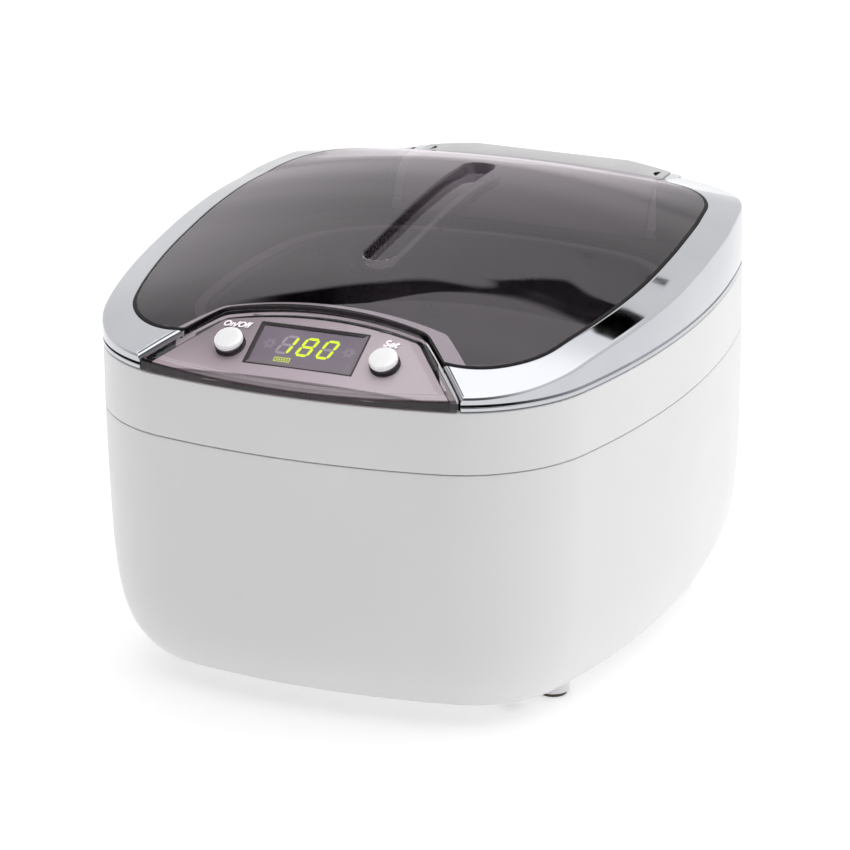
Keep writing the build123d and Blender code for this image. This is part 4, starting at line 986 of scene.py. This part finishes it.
def make_rim(side):
    n = (60, 34, 44)
    outer, win = body_pts(-0.15, n=n), window_pts(0.0, n=n)
    half = n[0] // 2
    last = n[0] + 2 * n[1] + n[2] + half
    loops = []
    re = 1.5
    for i in range(half, last + 1):
        ox, oy, nx, ny = outer[i]
        wx, wy, wnx, wny = win[i]
        ex, ey = ox - nx * re, oy - ny * re
        slope = max(roof_z(ex - nx, ey - ny) - roof_z(ex, ey), 0.0)
        al = math.atan(slope)
        zc = roof_z(ex, ey) - re / math.cos(al)
        prof = []

        def at_win(d, dz):
            x, y = wx + wnx * d, wy + wny * d
            prof.append((x, y, roof_z(x, y) + dz))

        at_win(0.0, -2.6)
        at_win(0.0, -0.42)
        at_win(0.06, -0.20)
        at_win(0.20, -0.05)
        at_win(0.42, 0.0)
        hx, hy = ox - nx * re * (1 - math.sin(al)), oy - ny * re * (1 - math.sin(al))
        sx, sy = wx + wnx * 0.42, wy + wny * 0.42
        for s in (0.04, 0.12, 0.25, 0.4, 0.55, 0.7, 0.85, 0.95):
            x, y = sx + (hx - sx) * s, sy + (hy - sy) * s
            prof.append((x, y, roof_z(x, y)))
        for k in range(8):
            ph = al + (math.pi / 2 - al) * k / 7
            d = re * (1 - math.sin(ph))
            prof.append((ox - nx * d, oy - ny * d, zc + re * math.cos(ph)))
        z0 = Z_RIM
        top = min(zc - 0.2, z0 + 2.62)
        for d, z in ((0.0, zc * 0.5 + (z0 + 2.6) * 0.5), (0.0, top), (0.05, z0 + 2.34), (0.18, z0 + 2.22),
                     (0.62, z0 + 2.12), (0.70, z0 + 1.98), (0.70, z0 + 1.62), (0.60, z0 + 1.50), (0.14, z0 + 1.42),
                     (0.03, z0 + 1.30), (0.0, z0 + 1.10), (0.0, z0 + 0.42), (0.06, z0 + 0.20), (0.20, z0 + 0.06),
                     (0.42, z0), (RIM_T - 0.2, z0), (RIM_T, z0 + 0.2)):
            prof.append((ox - nx * d, oy - ny * d, min(z, zc) if d == 0.0 else z))
        ix, iy = ox - nx * RIM_T, oy - ny * RIM_T
        zi = min(roof_z(ix, iy) - RIM_T, zc - 0.6)
        prof.append((ix, iy, max(zi, z0 + 0.9)))
        for s in (0.25, 0.5, 0.8):
            x, y = ix + (wx + wnx * 1.2 - ix) * s, iy + (wy + wny * 1.2 - iy) * s
            prof.append((x, y, max(roof_z(x, y) - RIM_T, z0 + 1.2)))
        prof.append((wx + wnx * 1.2, wy + wny * 1.2, roof_z(wx, wy) - 2.6))
        if side < 0:
            prof = [(-p[0], p[1], p[2]) for p in prof]
        loops.append(prof)
    ob = rings("rim", loops, [], None)
    cut_for_panel_and_hinge(ob, 55.4, 48.6)
    boolean(ob, roll_tool(1.7), "DIFFERENCE")
    name = "chrome_rim_left" if side < 0 else "chrome_rim_right"
    finish_piece(ob, [CHROME, GROOVE_SHADE], "lid", "rim_left" if side < 0 else "rim_right", smooth=34.0,
                 weld=0.003)
    # groove faces at the front take the painted black shade
    for p in ob.data.polygons:
        c = p.center / MM
        p.material_index = 1 if (Z_RIM + 1.46 < c.z < Z_RIM + 2.30 and c.y < -40
                                 and not inside(GROOVE_IN, (c.x, c.y))) else 0
    ob.name = name
    return ob


for s in (-1, 1):
    make_rim(s)


# ------------------------------------------------------------------ control panel
def rrect(w, h, r, cx=0.0, cy=0.0, n=6):
    pts = []
    for sx, sy, a0 in ((1, 1, 0), (-1, 1, 90), (-1, -1, 180), (1, -1, 270)):
        for i in range(n + 1):
            a = math.radians(a0 + 90 * i / n)
            pts.append((cx + sx * (w / 2 - r) + r * math.cos(a), cy + sy * (h / 2 - r) + r * math.sin(a)))
    return pts


STEPS = (1.0, 0.92, 0.84, 0.76, 0.68, 0.6, 0.52, 0.44, 0.36, 0.28, 0.2, 0.12, 0.05)


def shrunk(pts, q, h):
    """a plan ring drawn in towards the middle of the panel, on its crowned surface"""
    pp = [(x * q, -91.0 + (y + 91.0) * q) for x, y in pts]
    return [(x, y, pan_z(x, y, h)) for x, y in pp]


def make_console_skin():
    """facing of the console under the clear cover, painted grey and black as shade"""
    k = dict(n_front=60, n_side=12, n_corner=8, n_rear=40)
    a, b = panel_pts(-1.64, **k), panel_pts(-1.69, **k)
    outer = [[(x, y, 107.0) for x, y in a]] + [shrunk(a, q, -1.915) for q in STEPS]
    inner = [[(x, y, 107.0) for x, y in b]] + [shrunk(b, q, -1.945) for q in STEPS]
    n, m = len(a), len(outer)
    verts = [p for lp in outer + inner for p in lp]
    faces = []
    for i in range(n):
        j = (i + 1) % n
        for r in range(m - 1):
            faces.append((r * n + i, r * n + j, (r + 1) * n + j, (r + 1) * n + i))
            o = m * n
            faces.append((o + r * n + i, o + (r + 1) * n + i, o + (r + 1) * n + j, o + r * n + j))
        faces.append((i, m * n + i, m * n + j, j))
    faces.append(tuple((m - 1) * n + i for i in range(n)))
    faces.append(tuple((2 * m - 1) * n + i for i in range(n - 1, -1, -1)))
    ob = add_mesh("console_skin", verts, faces, [], None)
    cut = [rings("d", [[on_panel(x, y, h) for x, y in rrect(DISP_W, DISP_H, 0.3, DISP_X, DISP_LY)] for h in (-6, 2)], [], None)]
    cut += [cyl("b", on_panel(bx, by, -6), PN, BTN_D / 2 + 0.4, 10, 64, PX) for bx, by in BTNS]
    for c in cut:
        boolean(ob, c, "DIFFERENCE")
    finish_piece(ob, CONSOLE_SHADE, "root", smooth=32.0, weld=0)
    ob.name = "console_shaded_facing"


def make_cover():
    """clear cover: outer skin with a rounded top edge, inner skin, holes for the buttons"""
    k = dict(n_front=90, n_side=20, n_corner=12, n_rear=60)
    f = 0.7
    out = []
    base = [(x, y, 109.05) for x, y in panel_pts(-0.25, **k)]
    out.append(base)
    out.append([(x, y, 109.3) for x, y in panel_pts(0.0, **k)])
    for i in range(7):
        ph = math.pi / 2 * i / 6
        g, h = -f * (1 - math.cos(ph)), -f * (1 - math.sin(ph))
        out.append([(x, y, pan_z(x, y, h)) for x, y in panel_pts(g, **k)])
    out.append([(x, y, pan_z(x, y, 0.0)) for x, y in panel_pts(-2.2, **k)])
    # a fine step that frames the field
    field = panel_pts(-2.45, **k)
    inside = panel_pts(-COVER_T, **k)
    out += [shrunk(field, q, -0.12) for q in STEPS]
    n_out = len(out)
    inn = [[(x, y, 109.05) for x, y in inside]] + [shrunk(inside, q, -1.27) for q in STEPS]
    n = len(base)
    verts = [p for lp in out + inn for p in lp]
    faces = []
    for a in range(n_out - 1):
        for i in range(n):
            j = (i + 1) % n
            faces.append((a * n + i, a * n + j, (a + 1) * n + j, (a + 1) * n + i))
    faces.append(tuple((n_out - 1) * n + i for i in range(n)))
    b = n_out * n
    for i in range(n):
        j = (i + 1) % n
        faces.append((i, b + i, b + j, j))
        for a in range(len(inn) - 1):
            faces.append((b + a * n + i, b + (a + 1) * n + i, b + (a + 1) * n + j, b + a * n + j))
    faces.append(tuple(b + (len(inn) - 1) * n + i for i in range(n - 1, -1, -1)))
    ob = add_mesh("cover", verts, faces, [], None)
    for bx, by in BTNS:
        boolean(ob, cyl("b", on_panel(bx, by, -6), PN, BTN_D / 2 + 0.35, 10, 64, PX), "DIFFERENCE")
    # the rear of the skirt is open under the lid
    cut = []
    for z in (None, 90.0):
        cut.append([(x, y, pan_z(0, y, -4.0) if z is None else z)
                    for x, y in ((-80, -93.0), (80, -93.0), (80, -60), (-80, -60))])
    boolean(ob, rings("r", cut, [], None), "DIFFERENCE")
    finish_piece(ob, [COVER, COVER_EDGE], "root", "panel_cover", smooth=32.0, weld=0.002)
    # the walls are seen edge on, through more of the tinted plastic
    for p in ob.data.polygons:
        p.material_index = 0 if abs(p.normal.dot(PN)) > 0.93 else 1
    ob.name = "clear_panel_cover"
    return ob


make_console_skin()
make_cover()


def decal(name, polys, h, t, mat, body="root", at=on_panel):
    """thin raised shapes on the panel, each polygon in panel coordinates (mm)"""
    verts, faces = [], []
    for pl in polys:
        b, n = len(verts), len(pl)
        verts += [at(x, y, h) for x, y in pl] + [at(x, y, h + t) for x, y in pl]
        faces.append(tuple(b + i for i in range(n - 1, -1, -1)))
        faces.append(tuple(b + n + i for i in range(n)))
        for i in range(n):
            j = (i + 1) % n
            faces.append((b + i, b + j, b + n + j, b + n + i))
    ob = add_mesh(name, verts, faces, mat, body, 30.0)
    return ob


def panel_ring(name, prof, mat, rep=None, caps=True, smooth=30.0, cx=0.0, cy=0.0):
    """rounded rectangles stacked on the panel: prof is [(width, height, corner, h)]"""
    loops = [[on_panel(x, y, h) for x, y in rrect(w, hh, r, cx, cy)] for w, hh, r, h in prof]
    ob = rings(name, loops, mat, "root", caps=caps, smooth=smooth)
    if rep:
        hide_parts(rep)
    return ob


# printed plate under the cover
refined("panel_plate", PLATE, "printed_plate", smooth=30)
# display: glass with a bevelled frame, painted black shade above and on the left, painted lit grey below and on the
# right
panel_ring("display_glass", [(DISP_W - 0.4, DISP_H - 0.4, 0.6, -3.05), (DISP_W - 0.4, DISP_H - 0.4, 0.6, -2.15),
                             (DISP_W - 0.7, DISP_H - 0.7, 0.5, -1.95)], LCD, "display_window",
           cx=DISP_X, cy=DISP_LY)
LINE_H = -1.93


def make_frame():
    outer = rrect(DISP_W - 0.1, DISP_H - 0.1, 0.5, DISP_X, DISP_LY)
    lip = rrect(DISP_W - 1.3, DISP_H - 1.3, 0.4, DISP_X, DISP_LY)
    well = rrect(34.3, 14.0, 0.3, -2.2, 4.5)
    loops = [[on_panel(x, y, -1.94) for x, y in outer], [on_skin(x, y, -1.42) for x, y in outer],
             [on_skin(x, y, -1.40) for x, y in lip], [on_panel(x, y, -1.88) for x, y in well],
             [on_panel(x, y, -1.94) for x, y in well], [on_panel(x, y, -1.94) for x, y in outer]]
    ob = rings("display_frame", loops, [FRAME_LIT_SIDE, BLACK_AND_SHADE], "root", caps=False, smooth=30.0)
    # walls on the top and left take painted black shade, the rest the painted lit grey
    for p in ob.data.polygons:
        q = p.center / MM - PO
        lx, ly = q.dot(PX), q.dot(PY)
        edge = max(abs(lx - DISP_X) - DISP_W / 2, abs(ly - DISP_LY) - DISP_H / 2)
        if edge > -0.5 or (ly > 11.2 and lx < 15.0) or lx < -19.0:
            p.material_index = 1
    return ob


make_frame()


def segments(cx, cy, w=4.7, h=7.5, t=0.95, lean=0.0):
    """the seven bars of one digit, as named polygons"""
    g = 0.14
    hw, hh = w / 2, h / 2

    def bar(x0, y0, x1, y1):
        dx, dy = x1 - x0, y1 - y0
        ln = math.hypot(dx, dy)
        ux, uy = dx / ln, dy / ln
        x0, y0, x1, y1 = x0 + ux * g, y0 + uy * g, x1 - ux * g, y1 - uy * g
        nx, ny = -uy * t / 2, ux * t / 2
        k = t / 2
        p = [(x0, y0), (x0 + ux * k - nx, y0 + uy * k - ny), (x1 - ux * k - nx, y1 - uy * k - ny), (x1, y1),
             (x1 - ux * k + nx, y1 - uy * k + ny), (x0 + ux * k + nx, y0 + uy * k + ny)]
        return [(cx + x + lean * y, cy + y) for x, y in p]

    a = hw - t / 2
    b = hh - t / 2
    return {"a": bar(-a, b, a, b), "b": bar(a, 0, a, b), "c": bar(a, -b, a, 0), "d": bar(-a, -b, a, -b),
            "e": bar(-a, -b, -a, 0), "f": bar(-a, 0, -a, b), "g": bar(-a, 0, a, 0)}


lit, dim = [], []
for cx, on in ((-9.0, "bc"), (-2.0, "abcdefg"), (5.0, "abcdef")):
    for k, poly in segments(cx, 4.75, 4.8, 8.0, 0.95, 0.25).items():
        (lit if k in on else dim).append(poly)
decal("digits_lit", lit, LINE_H, 0.03, LIT)
decal("digits_dim", dim, LINE_H, 0.02, GHOST)


def burst(cx, cy, r0=0.7, r1=2.3, n=12, t=0.22):
    out = []
    for i in range(n):
        a = 2 * math.pi * i / n
        rr = r1 if i % 2 == 0 else r1 * 0.78
        c, s = math.cos(a), math.sin(a)
        out.append([(cx + c * r0 - s * t / 2, cy + s * r0 + c * t / 2), (cx + c * rr - s * t / 2, cy + s * rr + c * t / 2),
                    (cx + c * rr + s * t / 2, cy + s * rr - c * t / 2), (cx + c * r0 + s * t / 2, cy + s * r0 - c * t / 2)])
    return out


decal("bursts_dim", burst(-14.9, 4.5) + burst(12.2, 4.7), LINE_H, 0.02, GHOST)


def box_line(cx, cy, w, h, t):
    return [[(cx - w / 2, cy - h / 2), (cx + w / 2, cy - h / 2), (cx + w / 2, cy - h / 2 + t), (cx - w / 2, cy - h / 2 + t)],
            [(cx - w / 2, cy + h / 2 - t), (cx + w / 2, cy + h / 2 - t), (cx + w / 2, cy + h / 2), (cx - w / 2, cy + h / 2)],
            [(cx - w / 2, cy - h / 2), (cx - w / 2 + t, cy - h / 2), (cx - w / 2 + t, cy + h / 2), (cx - w / 2, cy + h / 2)],
            [(cx + w / 2 - t, cy - h / 2), (cx + w / 2, cy - h / 2), (cx + w / 2, cy + h / 2), (cx + w / 2 - t, cy + h / 2)]]


tag = box_line(-8.4, -1.5, 5.4, 1.7, 0.18)
for i in range(5):
    tag.append(rrect(0.34, 0.62, 0.08, -10.1 + 0.85 * i, -1.5, 2))
decal("tag_lit", tag, LINE_H, 0.03, LIT)


def lettering(name, text, cx, cy, width, lean=0.0, h=-1.395, t=0.06, mat=None):
    cu = bpy.data.curves.new(name, "FONT")
    cu.body = text
    cu.align_x = "CENTER"
    cu.align_y = "CENTER"
    cu.size = 1.0
    cu.shear = lean
    cu.offset = 0.03
    ob = bpy.data.objects.new(name, cu)
    scene.collection.objects.link(ob)
    bpy.context.view_layer.update()
    me = bpy.data.meshes.new_from_object(ob.evaluated_get(bpy.context.evaluated_depsgraph_get()))
    bpy.data.objects.remove(ob)
    xs = [v.co.x for v in me.vertices]
    ys = [v.co.y for v in me.vertices]
    k = width / (max(xs) - min(xs))
    mx, my = (max(xs) + min(xs)) / 2, (max(ys) + min(ys)) / 2
    bm = bmesh.new()
    bm.from_mesh(me)
    bmesh.ops.remove_doubles(bm, verts=bm.verts, dist=1e-6)
    for v in bm.verts:
        v.co = on_skin(cx + (v.co.x - mx) * k, cy + (v.co.y - my) * k, h) * MM
    ext = bmesh.ops.extrude_face_region(bm, geom=bm.faces[:])
    for g in ext["geom"]:
        if isinstance(g, bmesh.types.BMVert):
            g.co += PN * t * MM
    bmesh.ops.recalc_face_normals(bm, faces=bm.faces)
    bm.to_mesh(me)
    bm.free()
    me.materials.clear()
    me.materials.append(mat or PRINT_GLOW)
    ob = bpy.data.objects.new(name, me)
    scene.collection.objects.link(ob)
    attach(ob, "root")
    return ob


for nm, text, cx, cy, w in (("print_on_off", "On/Off", -28.3, 10.4, 9.8), ("print_set", "Set", 24.9, 10.3, 5.3)):
    lettering(nm, text, cx, cy, w, 0.28)
    # the dark copy is a painted drop shadow of the print, cast onto the plate below
    lettering(nm + "_shade", text, cx + 0.28, cy - 0.26, w, 0.28, t=0.03, mat=SHADE_MARK)


def strip(x0, x1, y0, y1, n=30):
    """narrow quads side by side, so that a long mark follows the crown"""
    out = []
    for i in range(n):
        a, b = x0 + (x1 - x0) * i / n, x0 + (x1 - x0) * (i + 1) / n
        out.append([(a, y0), (b, y0), (b, y1), (a, y1)])
    return out


def lens(x0, x1, y, t, n=12):
    """long mark that is pointed at both ends"""
    up = [(x0 + (x1 - x0) * i / n, y + t / 2 * math.sin(math.pi * i / n) ** 0.6) for i in range(1, n)]
    dn = [(p[0], 2 * y - p[1]) for p in reversed(up)]
    return [(x0, y)] + dn[::-1] + [(x1, y)] + up[::-1]


# the cover's snap tabs: painted shade in their recesses and painted glints on them; and painted shade along the step
# below the plate
decal("plate_step_shade", strip(-50.2, 50.2, -9.35, -8.85), -1.93, 0.03, SHADE_MARK, at=on_skin)
decal("tab_recesses", [rrect(4.0, 0.8, 0.35, -22.9, 15.0, 3), rrect(4.1, 0.8, 0.35, 21.1, 14.7, 3)], -1.395, 0.03, SHADE_MARK,
      at=on_skin)
decal("tab_glints", [lens(-31.8, -20.3, -12.9, 0.55), lens(20.3, 27.6, -13.1, 0.6)], -1.93, 0.05, TAB_GLINT,
      at=on_skin)


# ------------------------------------------------------------------ buttons
def make_button(place, name, node):
    c = on_panel(place[0], place[1], 0.0)
    r = BTN_D / 2
    prof = [(r + 1.0, -6.0), (r + 1.0, -5.0), (r - 0.6, -5.0), (r - 0.6, -COVER_T - PLATE_T), (r - 0.1, -COVER_T - PLATE_T),
            (r, -COVER_T - PLATE_T + 0.1), (r, 0.5)]
    cap = [(r, 0.5), (r, 1.25)]
    for i in range(1, 8):
        ph = math.pi / 2 * i / 7
        cap.append((r - 0.75 * (1 - math.cos(ph)), 1.35 + 0.7 * math.sin(ph)))
    for k in (0.7, 0.5, 0.25):
        cap.append(((r - 0.75) * k, 2.05 + 0.05 * (1 - k)))
    a = PN
    u, v = PX, a.cross(PX)
    n = 72
    loops = [[c + a * d + (u * math.cos(2 * math.pi * i / n) + v * math.sin(2 * math.pi * i / n)) * rr for i in range(n)]
             for rr, d in prof + cap[1:]]
    ob = rings(name, loops, [BTN_SIDE, BTN_CAP_GLOW], node, smooth=40.0)
    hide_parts(node)
    for p in ob.data.polygons:
        d = (p.center / MM - c).dot(a)
        p.material_index = 1 if d > 0.6 else 0
    return ob


make_button(BTNS[0], "button_left", "power_button")
make_button(BTNS[1], "button_right", "set_button")


# ------------------------------------------------------------------ stage, light and camera
FRONT_ROOM, BACK_ROOM, RIGHT_ROOM, OVER_LOW, OVER_HIGH = 0.14, 1.0, 0.99, 1.25, 1.8
FLOOR_ALBEDO, FLOOR_GLOW = 0.75, 0.42


def stage_mat():
    b = Mat("stage_white")
    b.link(b.mix(b.remap(b.noise(3, 2), 0, 1), (FLOOR_ALBEDO - 0.01,) * 3, (FLOOR_ALBEDO + 0.01,) * 3), b.p.inputs["Base Color"])
    b.p.inputs["Roughness"].default_value = 0.9
    b.p.inputs["Specular IOR Level"].default_value = 0.1
    b.p.inputs["Emission Color"].default_value = (1, 1, 1, 1)
    b.p.inputs["Emission Strength"].default_value = FLOOR_GLOW
    return b.m


def plane(name, c, u, v, mat):
    c, u, v = Vector(c), Vector(u), Vector(v)
    me = bpy.data.meshes.new(name)
    me.from_pydata([c - u - v, c + u - v, c + u + v, c - u + v], [], [(0, 1, 2, 3)])
    me.materials.append(mat)
    ob = bpy.data.objects.new(name, me)
    scene.collection.objects.link(ob)
    return ob


plane("floor", (0, 0, 0), (4, 0, 0), (0, 4, 0), stage_mat())


world = bpy.data.worlds.new("studio")
scene.world = world
world.use_nodes = True
wn = world.node_tree
bg = wn.nodes["Background"]


def wnode(kind, **kw):
    n = wn.nodes.new(kind)
    for k, v in kw.items():
        setattr(n, k, v)
    return n


def wmath(op, a, b=None, clamp=False):
    n = wnode("ShaderNodeMath", operation=op, use_clamp=clamp)
    for sock, v in ((n.inputs[0], a), (n.inputs[1], b)):
        if v is None:
            continue
        if isinstance(v, (int, float)):
            sock.default_value = v
        else:
            wn.links.new(v, sock)
    return n.outputs[0]


def wstep(v, a, b):
    n = wnode("ShaderNodeMapRange", interpolation_type="SMOOTHSTEP")
    n.inputs["From Min"].default_value = a
    n.inputs["From Max"].default_value = b
    wn.links.new(v, n.inputs["Value"])
    return n.outputs["Result"]


def wmix(f, a, b):
    """a + (b - a) f for numbers or sockets"""
    return wmath("ADD", wmath("MULTIPLY", wmath("SUBTRACT", 1.0, f), a), wmath("MULTIPLY", f, b))


tc = wnode("ShaderNodeTexCoord")
sp = wnode("ShaderNodeSeparateXYZ")
wn.links.new(tc.outputs["Generated"], sp.inputs[0])
DX, DY, DZ = sp.outputs["X"], sp.outputs["Y"], sp.outputs["Z"]
# room walls: darker on the side of the camera, bright behind the object and to its right
wall = wmix(wstep(DY, -0.55, 0.25), FRONT_ROOM, BACK_ROOM)
wall = wmix(wmath("MULTIPLY", wstep(DX, 0.30, 0.75), wstep(DY, -0.85, -0.2)), wall, RIGHT_ROOM)
# the wall on the left is bright low down only
wall = wmix(wmath("MULTIPLY", wmath("SUBTRACT", 1.0, wstep(DX, -0.85, -0.50)), wmath("SUBTRACT", 1.0, wstep(DZ, 0.10, 0.28))),
            wall, 1.0)
# overhead box, with the dark gap between it and the rear wall
over = wmix(wstep(DZ, 0.67, 0.88), OVER_LOW, OVER_HIGH)
edge = wmix(wstep(DY, -0.35, 0.15), 0.86, 0.668)
above = wmath("GREATER_THAN", wmath("SUBTRACT", DZ, edge), 0.0)
room = wmix(above, wall, over)
low = wmath("ADD", wmath("MULTIPLY", wstep(DX, -0.35, -0.235), 0.033), 0.598)
low = wmath("ADD", wmath("MULTIPLY", wstep(DX, -0.180, -0.125), 0.0115), low)
low = wmath("ADD", wmath("MULTIPLY", wstep(DX, -0.092, -0.086), -0.001), low)
high = wmath("ADD", wmath("MULTIPLY", wstep(DX, -0.38, -0.29), -0.043), 0.675)
high = wmath("ADD", wmath("MULTIPLY", wstep(DX, -0.29, -0.08), 0.036), high)
high = wmath("ADD", wmath("MULTIPLY", wstep(DX, -0.105, -0.09), 0.006), high)
soft = wmix(wstep(DX, -0.38, -0.29), 0.016, 0.004)
soft = wmath("SUBTRACT", soft, wmath("MULTIPLY", wstep(DX, -0.14, -0.10), 0.0025))
into = wmath("DIVIDE", wmath("SUBTRACT", DZ, wmath("SUBTRACT", low, soft)), soft, clamp=True)
side = wmath("MULTIPLY", wstep(DX, -0.56, -0.47), wmath("SUBTRACT", 1.0, wstep(DX, -0.062, -0.056)))
gap = wmath("MULTIPLY", wmath("MULTIPLY", into, wmath("SUBTRACT", 1.0, wstep(wmath("SUBTRACT", DZ, high), -0.003, 0.004))),
            wmath("MULTIPLY", wstep(DY, 0.10, 0.35), side))
room = wmath("MULTIPLY", room, wmath("SUBTRACT", 1.0, gap))


def band_of(v, a, b, soft):
    """1 between a and b with soft ends"""
    return wmath("MULTIPLY", wstep(v, a - soft, a), wmath("SUBTRACT", 1.0, wstep(v, b, b + soft)))


# dark card overhead on the left, mirrored by the flat of the panel cover
card = wmath("MULTIPLY", band_of(DX, -0.55, -0.40, 0.06), band_of(DY, -0.04, 0.34, 0.07))
card = wmath("MULTIPLY", wmath("MULTIPLY", card, wstep(DZ, 0.70, 0.78)), 0.92)
room = wmath("MULTIPLY", room, wmath("SUBTRACT", 1.0, card))
col = wnode("ShaderNodeCombineColor")
for k in range(3):
    wn.links.new(room, col.inputs[k])
wn.links.new(col.outputs[0], bg.inputs["Color"])
bg.inputs["Strength"].default_value = 1.0

cam_data = bpy.data.cameras.new("camera")
cam_data.sensor_width = 36.0
cam_data.lens = 36.0 * 6000.0 / 850.0
cam_data.clip_end = 50
cam = bpy.data.objects.new("camera", cam_data)
scene.collection.objects.link(cam)
az, el, roll = math.radians(24.5686), math.radians(19.516), math.radians(-0.9)
back = Vector((math.sin(az) * math.cos(el), -math.cos(az) * math.cos(el), math.sin(el)))
right = Vector((math.cos(az), math.sin(az), 0.0))
up = back.cross(right)
rr = right * math.cos(roll) + up * math.sin(roll)
uu = up * math.cos(roll) - right * math.sin(roll)
target = right * (-1.596 * MM) + Vector((0, 0, 65.465 * MM))
pos = target + back * (1964.3 * MM)
m = Matrix.Identity(4)
for i in range(3):
    m[i][0], m[i][1], m[i][2], m[i][3] = rr[i], uu[i], back[i], pos[i]
cam.matrix_world = m
scene.camera = cam
bpy.context.scene.camera = cam
scene.view_settings.view_transform = "Standard"
scene.view_settings.look = "None"
